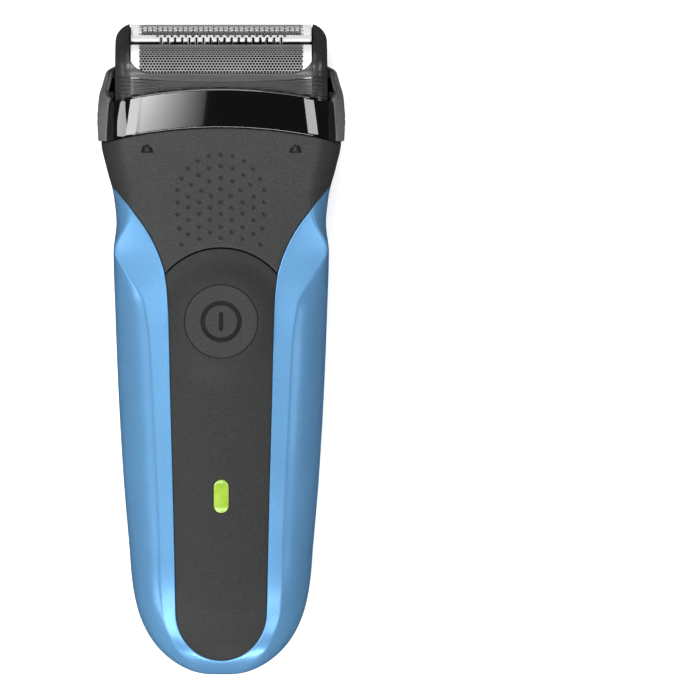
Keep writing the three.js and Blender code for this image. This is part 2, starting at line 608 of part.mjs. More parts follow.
// The plastic bar that holds the blades and takes the drive pin.
function cutterCarrier() {
  const { halfWidth, halfDepth, top, bottom, endFrom, endBottom } = CARRIER;
  const { pinHalfWidth, pinHalfDepth, pinTop } = CARRIER;
  const bar = box(-halfWidth, halfWidth, bottom, top, -halfDepth, halfDepth);
  const ends = box(-halfWidth + 4, halfWidth - 4, bottom - 1, endBottom, -halfDepth - 1, halfDepth + 1);
  const middle = box(-endFrom, endFrom, bottom - 2, 0, -halfDepth - 2, halfDepth + 2);
  const pinSlot = box(-pinHalfWidth, pinHalfWidth, bottom - 1, pinTop, -pinHalfDepth, pinHalfDepth);
  return cut(solid(bar), cut(solid(ends), solid(middle)), solid(pinSlot));
}

// ---------------------------------------------------------------- the drive, in the head's frame

function driveSeal() {
  const { holeHalfWidth, holeHalfDepth, bottom, top } = DRIVE_SEAL;
  const plate = rectangle(DRIVE_OPENING.halfWidth - 2 * SEAM, DRIVE_OPENING.halfDepth - 2 * SEAM);
  return alongY(withHole(plate, rectangle(holeHalfWidth, holeHalfDepth)), bottom, top);
}

// The sliding plate that carries the drive pins. The blind slot below it takes the eccentric's pin.
function driveBridge() {
  const { halfWidth, halfDepth, bottom, top, slotTop } = BRIDGE;
  const plate = solid(box(-halfWidth, halfWidth, bottom, top, -halfDepth, halfDepth));
  const slotDepth = ECCENTRIC.offset + ECCENTRIC.pinRadius + 2 * FIT;
  const slotWidth = slotDepth + STROKE;
  return cut(plate, solid(box(-slotWidth, slotWidth, bottom - 1, slotTop, -slotDepth, slotDepth)));
}

function motorBracket() {
  const { halfWidth, halfDepth, bottom, top, hole, screwHole } = MOTOR_BRACKET;
  const plate = withHole(rectangle(halfWidth, halfDepth), circle(hole));
  for (const side of [-1, 1]) withHole(plate, circle(screwHole, side * BOSS.x, 0));
  return alongY(plate, bottom, top);
}

function motorCan() {
  const can = solid(alongY(circle(MOTOR.radius), MOTOR.bottom, MOTOR.top, 8));
  return cut(can, solid(alongY(circle(MOTOR.bore), MOTOR.top - MOTOR.shaftLength - 1, MOTOR.top + 1)));
}

function motorShaft() {
  return alongY(circle(MOTOR.shaftRadius), MOTOR.top - MOTOR.shaftLength, ECCENTRIC.bottom - 0.2);
}

function eccentricWheel() {
  const { offset, pinRadius, wheelRadius, bottom, top, pinTop } = ECCENTRIC;
  const wheel = solid(alongY(circle(wheelRadius), bottom, top));
  return join(wheel, solid(alongY(circle(pinRadius, offset, 0), top - 0.1, pinTop)));
}

const SCREW_HEAD = 1.2;

// A screw with its head at the origin and its shank up Y.
function screw(radius, headRadius, length) {
  const top = SCREW_HEAD + length;
  const head = [[0, 0], [headRadius, 0], [headRadius, SCREW_HEAD]];
  const shank = [[radius, SCREW_HEAD], [radius, top], [0, top]];
  return new THREE.LatheGeometry([...head, ...shank].map(([x, y]) => new THREE.Vector2(x, y)), 10);
}

class Helix extends THREE.Curve {
  constructor(radius, height, turns) {
    super();
    Object.assign(this, { radius, height, turns });
  }

  getPoint(t, target = new THREE.Vector3()) {
    const angle = t * this.turns * 2 * Math.PI;
    return target.set(this.radius * Math.cos(angle), t * this.height, this.radius * Math.sin(angle));
  }
}

function coilSpring(radius, height, turns, wire) {
  const path = new Helix(radius, height, turns);
  return new THREE.ExtrudeGeometry(circle(wire), { steps: turns * 8, extrudePath: path, curveSegments: 2 });
}

// ---------------------------------------------------------------- inside the handle

function chassis() {
  const { halfWidth, from, to, floorZ, rimZ, wall } = CHASSIS;
  const outside = solid(box(-halfWidth, halfWidth, from, to, floorZ, rimZ));
  const channel = solid(box(-halfWidth + wall, halfWidth - wall, from - 1, to + 1, floorZ + wall, FAR));
  const rib = solid(box(-halfWidth + 0.5, halfWidth - 0.5, 4, 5.5, floorZ + 0.5, rimZ - 3));
  return join(cut(outside, channel), rib);
}

function circuitBoard() {
  const { halfWidth, from, to, z, thickness, screwX, screwInset, screwHole } = BOARD;
  const halfLength = (to - from) / 2;
  const shape = rectangle(halfWidth, halfLength);
  const holeY = halfLength - screwInset;
  for (const y of [-holeY, holeY]) {
    for (const x of [-screwX, screwX]) withHole(shape, circle(screwHole, x, y));
  }
  return alongZ(shape, z, z + thickness).translate(0, (from + to) / 2, 0);
}

function switchHousing() {
  const { half, height, bore } = SWITCH;
  const block = solid(alongZ(rectangle(half, half), BOARD_TOP, BOARD_TOP + height));
  return cut(block, solid(alongZ(circle(bore), BOARD_TOP + 1, FAR)));
}

function chargingSocket() {
  const { rim, depth, recess, wall } = SOCKET;
  const tub = solid(alongY(socketOutline(0), rim, rim + depth, 3));
  return cut(tub, solid(alongY(socketOutline(-wall), rim - 5, rim + recess, 7)));
}

// ---------------------------------------------------------------- the assembly

const shaver = new THREE.Group();
const head = new THREE.Group();
head.position.set(0, SEAT.y, SEAT.z);
head.rotation.x = HEAD_TILT;
shaver.add(head);

const materials = {};
for (const [name, look] of Object.entries(COLOURS)) materials[name] = new THREE.MeshStandardMaterial(look);

// Adds a named piece, from a geometry or a joined solid, to a group at a place in that group's frame.
function add(group, name, made, colour, place = [0, 0, 0]) {
  const geometry = made.isBufferGeometry ? made : geometryOf(made);
  const mesh = new THREE.Mesh(geometry, materials[colour]);
  mesh.name = name;
  mesh.position.set(...place);
  group.add(mesh);
  return mesh;
}

add(shaver, 'front_shell', frontShell(), 'blue');
add(shaver, 'rear_shell', rearShell(), 'blue');
add(shaver, 'upper_front_panel', upperFrontPanel(), 'charcoal');
add(shaver, 'lower_front_panel', lowerFrontPanel(), 'charcoal');
add(shaver, 'rear_grip', rearGrip(), 'blackRubber');
add(shaver, 'gloss_band', glossBand(), 'glossBlack');
add(shaver, 'head_base', headBase(), 'darkPlastic');
add(shaver, 'power_button', powerButton(), 'charcoal');
add(shaver, 'button_seal', buttonSeal(), 'blackRubber');
add(shaver, 'indicator_lens', indicatorLens(), 'green');
add(head, 'release_button_left', onSide(releaseButton(), -1), 'charcoal');
add(head, 'release_button_right', releaseButton(), 'charcoal');

add(shaver, 'chassis', chassis(), 'darkPlastic');
const cell = alongY(circle(BATTERY.radius), BATTERY.from, BATTERY.to, 8);
add(shaver, 'battery', cell, 'whitePlastic', [0, 0, BATTERY.z]);
const TAB_PLACES = [
  ['positive', BATTERY.to + TAB.gap],
  ['negative', BATTERY.from - TAB.gap - TAB.thickness],
];
for (const [pole, y] of TAB_PLACES) {
  const tab = box(-TAB.halfWidth, TAB.halfWidth, y, y + TAB.thickness, TAB.from, TAB.to);
  add(shaver, `battery_tab_${pole}`, tab, 'brass');
}
add(shaver, 'circuit_board', circuitBoard(), 'boardGreen');
for (const [place, y] of [['lower', BOARD.from + BOARD.screwInset], ['upper', BOARD.to - BOARD.screwInset]]) {
  const boardScrew = screw(0.9, 1.9, 3).rotateX(-Math.PI / 2);
  const headZ = BOARD.z + BOARD.thickness + SCREW_HEAD + 2 * SEAM;
  add(shaver, `board_screw_${place}`, boardScrew, 'steel', [BOARD.screwX, y, headZ]);
}
add(shaver, 'switch_housing', switchHousing(), 'darkPlastic', [0, BUTTON_Y, 0]);
const plunger = alongZ(circle(SWITCH.plungerRadius), SWITCH.plungerFrom, SWITCH.plungerTo);
add(shaver, 'switch_plunger', plunger, 'whitePlastic', [0, BUTTON_Y, 0]);
add(shaver, 'led', box(-1.2, 1.2, -0.9, 0.9, 0, 1.4), 'whitePlastic', [0, LENS.y, BOARD_TOP]);
add(shaver, 'charge_chip', box(-2.5, 2.5, -2, 2, 0, 1.2), 'darkPlastic', [-3, -18, BOARD_TOP]);
add(shaver, 'capacitor', alongZ(circle(2.5), 0, 5), 'steel', [5, -18, BOARD_TOP]);
add(shaver, 'charging_socket', chargingSocket(), 'darkPlastic', [0, 0, SOCKET.z]);
for (const [name, side] of [['socket_pin_left', -1], ['socket_pin_right', 1]]) {
  const root = SOCKET.rim + SOCKET.recess - 0.15;
  const pin = alongY(circle(SOCKET.pinRadius), root - SOCKET.pinLength, root);
  add(shaver, name, pin, 'steel', [side * SOCKET.pinX, 0, SOCKET.z]);
}

add(head, 'foil_frame', foilFrame(), 'charcoal');
for (const [place, side] of [['front', 1], ['rear', -1]]) {
  const z = side * FOIL.pitch;
  add(head, `${place}_foil`, foil(), 'steel', [0, 0, z]);
  add(head, `${place}_cutter_blades`, cutterBlades(), 'steel', [0, FOIL.centre, z]);
  add(head, `${place}_cutter_carrier`, cutterCarrier(), 'whitePlastic', [0, FOIL.centre, z]);
}
add(head, 'trimmer_comb', trimmerComb(), 'steel');
add(head, 'trimmer_blade', trimmerBlade(), 'steel');

add(head, 'drive_seal', driveSeal(), 'blackRubber');
add(head, 'drive_bridge', driveBridge(), 'whitePlastic');
for (const { place, z, radius, top } of DRIVE_PINS) {
  add(head, `drive_pin_${place}`, alongY(circle(radius), BRIDGE.top + SEAM, top), 'steel', [0, 0, z]);
}
add(head, 'motor_bracket', motorBracket(), 'darkPlastic');
add(head, 'motor_can', motorCan(), 'steel');
add(head, 'motor_shaft', motorShaft(), 'steel');
add(head, 'eccentric_wheel', eccentricWheel(), 'whitePlastic');
for (const [place, side] of [['left', -1], ['right', 1]]) {
  add(head, `head_screw_${place}`, screw(0.9, 2, 6.6), 'steel', [side * BOSS.x, -13.4, 0]);
  const spring = coilSpring(SPRING.radius, SPRING.length - 2 * SPRING.wire, SPRING.turns, SPRING.wire);
  const from = side * (SPRING.inner + SPRING.wire);
  const { thickness, bottom, halfDepth } = FLEXURE;
  const near = side * FLEXURE.x - thickness / 2;
  const leaf = box(near, near + thickness, bottom, BRIDGE.top, -halfDepth, halfDepth);
  add(head, `drive_flexure_${place}`, leaf, 'steel');
  add(head, `release_spring_${place}`, spring.rotateZ((-side * Math.PI) / 2), 'steel', [from, SPRING.y, 0]);
}

export default shaver;
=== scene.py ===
import json
import math

import bmesh
import bpy
import numpy as np
from mathutils import Matrix, Vector
from mathutils.geometry import delaunay_2d_cdt


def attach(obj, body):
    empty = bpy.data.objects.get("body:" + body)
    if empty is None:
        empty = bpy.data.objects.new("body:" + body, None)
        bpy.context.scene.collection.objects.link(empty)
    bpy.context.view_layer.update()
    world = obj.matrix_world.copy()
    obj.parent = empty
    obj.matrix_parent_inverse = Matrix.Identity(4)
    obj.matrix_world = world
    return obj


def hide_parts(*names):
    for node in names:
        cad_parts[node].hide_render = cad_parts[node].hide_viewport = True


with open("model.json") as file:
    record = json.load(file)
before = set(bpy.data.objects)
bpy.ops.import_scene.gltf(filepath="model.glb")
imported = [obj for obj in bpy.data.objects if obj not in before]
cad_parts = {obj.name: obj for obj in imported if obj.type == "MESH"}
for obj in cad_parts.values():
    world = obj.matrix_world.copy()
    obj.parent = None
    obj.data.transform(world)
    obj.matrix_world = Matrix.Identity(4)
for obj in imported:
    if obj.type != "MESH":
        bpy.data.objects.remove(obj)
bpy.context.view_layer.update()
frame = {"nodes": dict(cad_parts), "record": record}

# A cordless foil shaver lying on its back. Sizes are millimetres in the CAD's frame (X right, Y towards
# the head, Z up out of the front face), and mesh_object turns them into metres.

# ---------------------------------------------------------------- driving dimensions

HALF_WIDTH = [(-80, 20.4), (-50, 22.4), (-32, 23.9), (-10, 25.2), (10, 26), (24, 26.4), (31, 25.7),
              (38, 26.4), (45, 28.2), (51, 29.4), (60, 29.4)]
FRONT_HEIGHT = [(-80, 33.2), (-50, 34), (-20, 34.6), (5, 34.5), (25, 33.8), (38, 33.8), (46, 34.3),
                (52, 35.4), (56, 36.6)]
BACK_HEIGHT = [(-80, 0), (35, 0), (41, 0.4), (50, 1.1), (58, 2.8), (64, 4.7)]
CREASE_SHARE = [(-80, 0.74), (-62, 0.7), (-45, 0.665), (-28, 0.66), (0, 0.675), (11, 0.72), (18.8, 0.876),
                (24.5, 0.985), (34.5, 0.845), (46, 0.82), (60, 0.82)]
FRONT_CROWN = [(-80, 0.0075), (5, 0.0075), (50, 0.0015), (60, 0.0015)]
SHOULDER_SLOPE = 0.62
BACK_CREASE_SHARE = 0.62  # where the back turns up into the side, as a share of the half width
BACK_FLAT_SHARE = 0.28  # half width of the flat strip that the shaver lies on, the same way
BACK_RISE_SHARE = 0.34
BACK_RISE = 1.2
CREASE_STEP = 0.5  # how far around the front skin the crease is, and then the parting
PARTING_STEP = 1
BOTTOM_END = -79.95
END_START = -50
BODY_TOP = 62
PARTING_Z = 17.5
WALL = 2
SEAM = 0.06
EDGE_ROLL = 0.3

PANEL_EDGE = [(-64, 11.1), (-50, 11.4), (-33, 11.8), (-7, 12.5), (8, 12.8), (14, 13.2), (18.7, 13.8),
              (21.8, 14.7), (25.1, 16), (28, 17.5), (31, 19.4), (33.6, 21.4),
              (37.1, 24.3), (40.8, 27.4), (44, 31)]
PANEL_END = -76.1
GRIP_EDGE = [(-58, 10.5), (-40, 11.5), (0, 13), (20, 15), (30, 19), (38, 25), (43, 31)]
GRIP_END = -70
COVER_TOP = (54.2, 50.9)  # height of the front panel's top edge in the middle and at the sides
GRIP_TOP = (59, 51.5)
COVER_HALF_WIDTH = 28
COVER_REACH = 29.3  # half width that both covers' top edges are drawn to
PANEL_SEAM = 0.15  # half the gap between the two front panels

BUTTON_Y = 7
BUTTON_RADIUS = 8.9
BUTTON_GAP = 0.07
BUTTON_DISH = 0.5
MOUND = 1.1  # how far the lower panel rises around the button
SEAM_ARC_RADIUS = 17.9
LENS_Y = -35.75
LENS_HALF_WIDTH = 1.85
LENS_HALF_LENGTH = 4.1
LENS_GAP = 0.08
SOCKET_HALF_WIDTH = 7.35
SOCKET_HALF_HEIGHT = 4.05

SEAT_Y = 57.9
SEAT_Z = 20.3
TILT = math.radians(20)
NECK_HALF_WIDTH = 28.55
NECK_NARROWING = 0.095
NECK_HALF_DEPTH = 16.6
NECK_CORNER = 8
NECK_TOP = 7.5
BAND_HEIGHT = 9.5

CASSETTE_HALF_WIDTH = 25.95
CASSETTE_HALF_DEPTH = 14.8
CASSETTE_CORNER = 4.6
CASSETTE_BOTTOM = 1.5
CASSETTE_WALL = 1.2
WALL_TOP = 15.3
CAP_RADIUS = 6.2
CAP_INNER = 22.4
FOIL_PITCH = 7.5
FOIL_RADIUS = 5.8
FOIL_CENTRE = 14.2
FOIL_HALF_LENGTH = 22.1
TRIMMER_TOP = 19.6
TRIMMER_HALF_DEPTH = 1.45

RELEASE_CENTRE = 2
RELEASE_HALF_HEIGHT = 8.2
RELEASE_HALF_DEPTH = 6.5
RELEASE_FACE = [(-7.2, 29.7), (-4.6, 30.3), (-1.4, 30.4), (1.8, 30.15), (5, 29.3), (8.2, 28.4), (11, 27.6)]


# ---------------------------------------------------------------- curves

def along(stations, y):
    """A smooth curve through (y, value) stations that never overshoots them."""
    ys, values = np.array(stations, float).T
    spans = np.diff(ys)
    slopes = np.diff(values) / spans
    product = slopes[:-1] * slopes[1:]
    total = slopes[:-1] + slopes[1:]
    inner = np.where(product > 0, 2 * product / np.where(total == 0, 1, total), 0)
    tangents = np.concatenate([slopes[:1], inner, slopes[-1:]])
    y = np.clip(y, ys[0], ys[-1])
    i = np.clip(np.searchsorted(ys, y, side="right") - 1, 0, len(ys) - 2)
    t = (y - ys[i]) / spans[i]
    rise = values[i + 1] - values[i]
    start = tangents[i] * spans[i] - rise
    end = rise - tangents[i + 1] * spans[i]
    return values[i] + rise * t + t * (1 - t) * (start * (1 - t) + end * t)


def smooth_step(low, high, value):
    t = np.clip((value - low) / (high - low), 0, 1)
    return t * t * (3 - 2 * t)


def body_section(u, y):
    """(x, z) on the skin at y. u is 0 mid-front, 1 at the parting and 2 mid-back."""
    q = np.clip((END_START - y) / (END_START - BOTTOM_END), 0, 1)
    half = along(HALF_WIDTH, y) * (1 - q**3) ** 0.5
    front = PARTING_Z + (along(FRONT_HEIGHT, y) - PARTING_Z) * (1 - q**3.2) ** (1 / 2.2)
    back_taper = (1 - q**2.6) ** 0.5
    back = PARTING_Z - (PARTING_Z - along(BACK_HEIGHT, y)) * back_taper
    crease = half * along(CREASE_SHARE, y)
    crown = along(FRONT_CROWN, y)
    crease_z = front - crown * crease**2

    def bezier(t, a, b, c):
        return (1 - t) ** 2 * a + 2 * t * (1 - t) * b + t * t * c

    t = np.clip(2 * u, 0, 1)
    middle = (crease * t, front - crown * (crease * t) ** 2)
    t = np.clip(2 * u - 1, 0, 1)
    shoulder_z = crease_z - SHOULDER_SLOPE * (half - crease)
    side = (bezier(t, crease, half, half), bezier(t, crease_z, shoulder_z, PARTING_Z))
    t = np.clip(2 * u - 2, 0, 1)
    rise = BACK_RISE * back_taper
    rear = (bezier(t, half, half, BACK_CREASE_SHARE * half),
            bezier(t, PARTING_Z, back + 5 * back_taper, back + rise))
    t = np.clip(2 * u - 3, 0, 1)
    share = BACK_CREASE_SHARE * (1 - t)
    under = (share * half, back + rise * np.clip((share - BACK_FLAT_SHARE) / BACK_RISE_SHARE, 0, None) ** 2)
    spans = [u < 0.5, u < 1, u < 1.5]
    return (np.select(spans, [middle[0], side[0], rear[0]], under[0]),
            np.select(spans, [middle[1], side[1], rear[1]], under[1]))


class Skin:
    """The front or rear half of the body's skin, unrolled: a runs around it from its middle, v along it."""

    def __init__(self, front):
        self.middle, self.turn = (0, 1) if front else (2, -1)
        share = np.linspace(0, 1, 500)
        self.ys = BOTTOM_END + 1e-4 + (BODY_TOP - BOTTOM_END) * (1 - np.cos(share * np.pi / 2))
        self.steps = np.linspace(0, 1.4, 281)
        x, z = body_section(self.middle + self.turn * self.steps[None, :], self.ys[:, None])
        lengths = np.hypot(np.diff(x, axis=1), np.diff(z, axis=1))
        self.x_table = x
        self.arc_table = np.concatenate([np.zeros((len(x), 1)), np.cumsum(lengths, axis=1)], axis=1)
        rises = np.hypot(np.diff(self.ys), np.diff(z[:, 0]))
        self.vs = np.concatenate([[0], np.cumsum(rises)])

    def look_up(self, table, y, step):
        row = np.interp(y, self.ys, np.arange(len(self.ys)))
        column = np.clip(step / self.steps[1], 0, len(self.steps) - 1.001)
        i = np.minimum(row.astype(int), len(self.ys) - 2)
        j = column.astype(int)
        fr, fc = row - i, column - j
        top = table[i, j] * (1 - fc) + table[i, j + 1] * fc
        bottom = table[i + 1, j] * (1 - fc) + table[i + 1, j + 1] * fc
        return top * (1 - fr) + bottom * fr

    def solve(self, table, y, wanted, high):
        low = np.zeros_like(y)
        high = np.full_like(y, high)
        for _ in range(30):
            middle = (low + high) / 2
            over = self.look_up(table, y, middle) > wanted
            high = np.where(over, middle, high)
            low = np.where(over, low, middle)
        return (low + high) / 2

    def place(self, points):
        a, v = points.T
        y = np.interp(v, self.vs, self.ys)
        step = self.solve(self.arc_table, y, np.abs(a), 1.39)
        x, z = body_section(self.middle + self.turn * step, y)
        return np.stack([np.sign(a) * self.turn * x, y, z], axis=1)

    def __call__(self, points):
        return with_normals(self.place, points)

    def unroll(self, x, y):
        """The unrolled place of the skin's point at (x, y) in plan, or on the parting if it is wider."""
        x, y = np.broadcast_arrays(np.asarray(x, float), np.asarray(y, float))
        step = self.solve(self.x_table, y, np.abs(x), 1)
        a = self.look_up(self.arc_table, y, step) * np.sign(x) * self.turn
        return np.stack([a, np.interp(y, self.ys, self.vs)], axis=1)

    def line(self, step, y, side):
        """Unrolled places at one step around the skin, on the side where x has that sign."""
        a = self.look_up(self.arc_table, y, np.full_like(y, step)) * side * self.turn
        return np.stack([a, np.interp(y, self.ys, self.vs)], axis=1)


def upright_near_button(surface):
    """The same surface with normals that turn straight up around the button, so that it can slide."""
    def made(points):
        places, normals = surface(points)
        distance = np.hypot(places[:, 0], places[:, 1] - BUTTON_Y)
        share = 1 - smooth_step(BUTTON_RADIUS + 0.6, BUTTON_RADIUS + 3, distance)[:, None]
        mixed = normals * (1 - share) + np.array([0, 0, 1]) * share
        return places, mixed / np.linalg.norm(mixed, axis=1, keepdims=True)
    return made


def with_normals(place, points):
    """Points on a surface, and its normals from small steps both ways."""
    step = 0.08
    across = place(points + (step, 0)) - place(points - (step, 0))
    up = place(points + (0, step)) - place(points - (0, step))
    normals = np.cross(across, up)
    normals /= np.maximum(np.linalg.norm(normals, axis=1, keepdims=True), 1e-9)
    return place(points), normals


def from_head(x, y, z):
    """A place in the head's own frame, put into the body's."""
    cos, sin = math.cos(TILT), math.sin(TILT)
    return np.stack(np.broadcast_arrays(x, SEAT_Y + y * cos - z * sin, SEAT_Z + y * sin + z * cos), axis=-1)


# ---------------------------------------------------------------- outlines

def lengths_along(points):
    return np.concatenate([[0], np.cumsum(np.linalg.norm(np.diff(points, axis=0), axis=1))])


def resample(points, step):
    """The same closed outline with evenly spaced points."""
    points = np.asarray(points, float)
    points = np.concatenate([points, points[:1]])
    lengths = lengths_along(points)
    count = max(6, round(lengths[-1] / step))
    places = np.linspace(0, lengths[-1], count + 1)[:-1]
    return np.stack([np.interp(places, lengths, points[:, k]) for k in (0, 1)], axis=1)


def arc(x, y, radius_x, radius_y, start, end, count=48):
    angles = np.radians(np.linspace(start, end, count))
    return np.stack([x + radius_x * np.cos(angles), y + radius_y * np.sin(angles)], axis=1)


def stadium(x, y, half_width, half_length):
    """An upright slot outline with round ends."""
    straight = half_length - half_width
    return np.concatenate([arc(x, y + straight, half_width, half_width, 0, 180),
                           arc(x, y - straight, half_width, half_width, 180, 360)])


def arch(top, x):
    middle, side = top
    return side + (middle - side) * (1 - np.minimum(np.abs(x) / COVER_HALF_WIDTH, 1) ** 2)


def edge_side(edge, low, high, grow):
    """(x, y) along the right-hand side of an outline that follows edge stations."""
    y = np.linspace(low, high, 90)
    return np.stack([along(edge, y) + grow, y], axis=1)


def round_end(edge, end, grow, count=60):
    """The rounded lower end of an outline, from its left-hand side to its right-hand side."""
    first_y, first_x = edge[0]
    return arc(0, first_y, first_x + grow, first_y - end + grow, 180, 360, count)


def mirrored(points):
    return np.asarray(points)[::-1] * (-1, 1)


def inside(points, loop):
    """Which points lie inside a closed outline."""
    x, y = points.T
    result = np.zeros(len(points), bool)
    for (x0, y0), (x1, y1) in zip(loop, np.roll(loop, -1, axis=0)):
        if y0 == y1:
            continue
        crosses = (y0 > y) != (y1 > y)
        result ^= crosses & (x < (x1 - x0) * (y - y0) / (y1 - y0) + x0)
    return result


def inset_loop(loop, distance):
    """The outline moved to its left by a distance, with its corners kept."""
    before = loop - np.roll(loop, 1, axis=0)
    after = np.roll(loop, -1, axis=0) - loop
    before /= np.linalg.norm(before, axis=1, keepdims=True)
    after /= np.linalg.norm(after, axis=1, keepdims=True)
    left = np.stack([-(before + after)[:, 1], (before + after)[:, 0]], axis=1)
    length = np.linalg.norm(left, axis=1, keepdims=True)
    left /= np.maximum(length, 1e-9)
    return loop + left * distance / np.maximum(length / 2, 0.5)


def anticlockwise(loop):
    x, y = loop.T
    area = np.sum(x * np.roll(y, -1) - y * np.roll(x, -1))
    return loop if area > 0 else loop[::-1]


# ---------------------------------------------------------------- meshes

def placed(name, data):
    """A new object in the scene, with that mesh, lamp or camera."""
    thing = bpy.data.objects.new(name, data)
    bpy.context.collection.objects.link(thing)
    return thing


def mesh_object(name, points, faces):
    mesh = bpy.data.meshes.new(name)
    mesh.from_pydata((np.asarray(points) / 1000).tolist(), [], faces)
    work = bmesh.new()
    work.from_mesh(mesh)
    bmesh.ops.remove_doubles(work, verts=work.verts, dist=1e-7)
    bmesh.ops.dissolve_degenerate(work, edges=work.edges, dist=1e-7)
    bmesh.ops.recalc_face_normals(work, faces=work.faces)
    for face in work.faces:
        face.smooth = True
    work.to_mesh(mesh)
    work.free()
    return placed(name, mesh)


HEX_ROW = 0.866  # spacing of a hexagonal grid's rows, as a share of its pitch


def hex_grid(low, high, spacing):
    xs = np.arange(low[0], high[0] + spacing, spacing)
    rows = np.arange(low[1], high[1] + spacing, spacing * HEX_ROW)
    shift = (np.arange(len(rows)) % 2) * spacing / 2
    return np.stack([(xs[None, :] + shift[:, None]).ravel(), np.repeat(rows, len(xs))], axis=1)


def loop_edges(ends):
    """The edges of closed loops of points, from the numbers at which the loops begin and end."""
    edges = []
    for first, last in zip(ends[:-1], ends[1:]):
        edges += [(k, k + 1 if k + 1 < last else first) for k in range(first, last)]
    return edges


def triangulated(flat, edges, ends):
    """(points, triangles outside every hole, where each point went). Loops after the first are holes."""
    made = delaunay_2d_cdt([Vector(p) for p in flat], edges, [], 0, 1e-7, True)
    points = np.array([tuple(p) for p in made[0]])
    loop_of = np.full(len(points), -1)
    position = {}
    for k, ids in enumerate(made[3]):
        for i in ids:
            position[i] = k
            if i < ends[-1]:
                loop_of[k] = np.searchsorted(ends, i, side="right") - 1
    triangles = np.array(made[2])
    owners = loop_of[triangles]
    in_hole = (owners[:, 0] > 0) & (owners[:, 0] == owners[:, 1]) & (owners[:, 1] == owners[:, 2])
    return points, triangles[~in_hole], position


def sheet(name, surface, outline, holes=(), roll=EDGE_ROLL, thickness=1.5, spacing=1.2, edge_step=0.6,
          lines=(), extra=None, relief=None):
    """A closed shell of even thickness over a region of an unrolled surface, with rounded outer edges.

    surface gives places and normals for unrolled points, relief adds a height to them, lines are open runs
    of points that edges follow, and extra are points that the mesh must have. Holes are convex.
    """
    loops = [anticlockwise(resample(outline, edge_step))]
    loops += [anticlockwise(resample(hole, min(edge_step, 0.5)))[::-1] for hole in holes]
    rims = [inset_loop(loop, roll) for loop in loops]
    fixed = np.concatenate(rims)
    free = [hex_grid(loops[0].min(axis=0), loops[0].max(axis=0), spacing)]
    if extra is not None:
        crowd = np.min(np.linalg.norm(free[0][:, None] - extra[None, ::4], axis=2), axis=1)
        free = [free[0][crowd > 0.75 * spacing], extra]
    line_points = [np.asarray(line, float) for line in lines]
    if line_points:
        together = np.concatenate(line_points)
        crowd = np.min(np.linalg.norm(free[0][:, None] - together[None], axis=2), axis=1)
        free[0] = free[0][crowd > 0.5 * spacing]
    free = np.concatenate(free + line_points)
    keep = inside(free, rims[0])
    for rim in rims[1:]:
        keep &= ~inside(free, rim)
    ends = np.concatenate([[0], np.cumsum([len(rim) for rim in rims])])
    margin = np.full(len(free), np.inf)
    for start in range(0, len(fixed), 400):
        block = fixed[start:start + 400]
        margin = np.minimum(margin, np.min(np.linalg.norm(free[:, None] - block[None], axis=2), axis=1))
    keep &= margin > 0.4 * min(spacing, edge_step)
    number = np.full(len(free), -1)
    number[keep] = len(fixed) + np.arange(keep.sum())
    flat = np.concatenate([fixed, free[keep]])

    edges = loop_edges(ends)
    start = len(free) - sum(len(line) for line in line_points)
    for line in line_points:
        ids = number[start:start + len(line)]
        start += len(line)
        edges += [(int(p), int(q)) for p, q in zip(ids[:-1], ids[1:]) if p >= 0 and q >= 0]
    flat_out, triangles, position = triangulated(flat, edges, ends)
    triangles = triangles[inside(flat_out[triangles].mean(axis=1), rims[0])]

    def lifted(points, drop):
        places, normals = surface(points)
        height = relief(points) if relief else 0
        return places + normals * (np.reshape(height, (-1, 1)) - drop)

    points = [lifted(flat_out, 0), lifted(flat_out, thickness)]
    count = len(flat_out)
    faces = [tuple(t) for t in triangles.tolist()]
    faces += [(a + count, c + count, b + count) for a, b, c in triangles.tolist()]
    total = 2 * count
    turns = np.radians([67.5, 45, 22.5, 0])
    for loop, first, last in zip(loops, ends[:-1], ends[1:]):
        above = [position[i] for i in range(first, last)]
        rows = [(inset_loop(loop, roll * (1 - math.cos(t))), roll * (1 - math.sin(t))) for t in turns]
        rows.append((loop, thickness - 0.01))
        for ring, drop in rows:
            points.append(lifted(ring, drop))
            here = list(range(total, total + len(ring)))
            total += len(ring)
            faces += strip(above, here)
            above = here
        faces += strip(above, [position[i] + count for i in range(first, last)])
    return mesh_object(name, np.concatenate(points), faces)


def strip(first, second):
    """Quads between two closed rings of vertex numbers."""
    size = len(first)
    return [(first[k], second[k], second[(k + 1) % size], first[(k + 1) % size]) for k in range(size)]


def grid_faces(rows, columns, wrap=False):
    faces = []
    for i in range(rows - 1):
        for j in range(columns if wrap else columns - 1):
            a = i * columns + j
            b = i * columns + (j + 1) % columns
            faces.append((a, b, b + columns, a + columns))
    return faces


def closing_faces(rows, size):
    """Faces between the first and last points of neighbouring rows."""
    return [(i * size, (i + 1) * size, (i + 2) * size - 1, (i + 1) * size - 1) for i in range(rows - 1)]


def block_corners(half_x, half_z):
    return ((-half_x, -half_z), (half_x, -half_z), (half_x, half_z), (-half_x, half_z))


def left_or_right(side):
    return "left" if side < 0 else "right"


def front_or_rear(side):
    return "front" if side > 0 else "rear"


# ---------------------------------------------------------------- the handle's skins

front = Skin(True)
rear = Skin(False)


def meeting_height(edge, grow):
    """How far up the outline reaches the widest part of the body."""
    y = np.linspace(30, 50, 2001)
    return y[np.argmax(along(edge, y) + grow > along(HALF_WIDTH, y))]


def end_heights(top):
    """Heights from the top down to the bottom end, close together where the body curves in."""
    share = np.sin(np.linspace(0, 1, 160) * np.pi / 2)
    return top + (BOTTOM_END + 1e-3 - top) * share


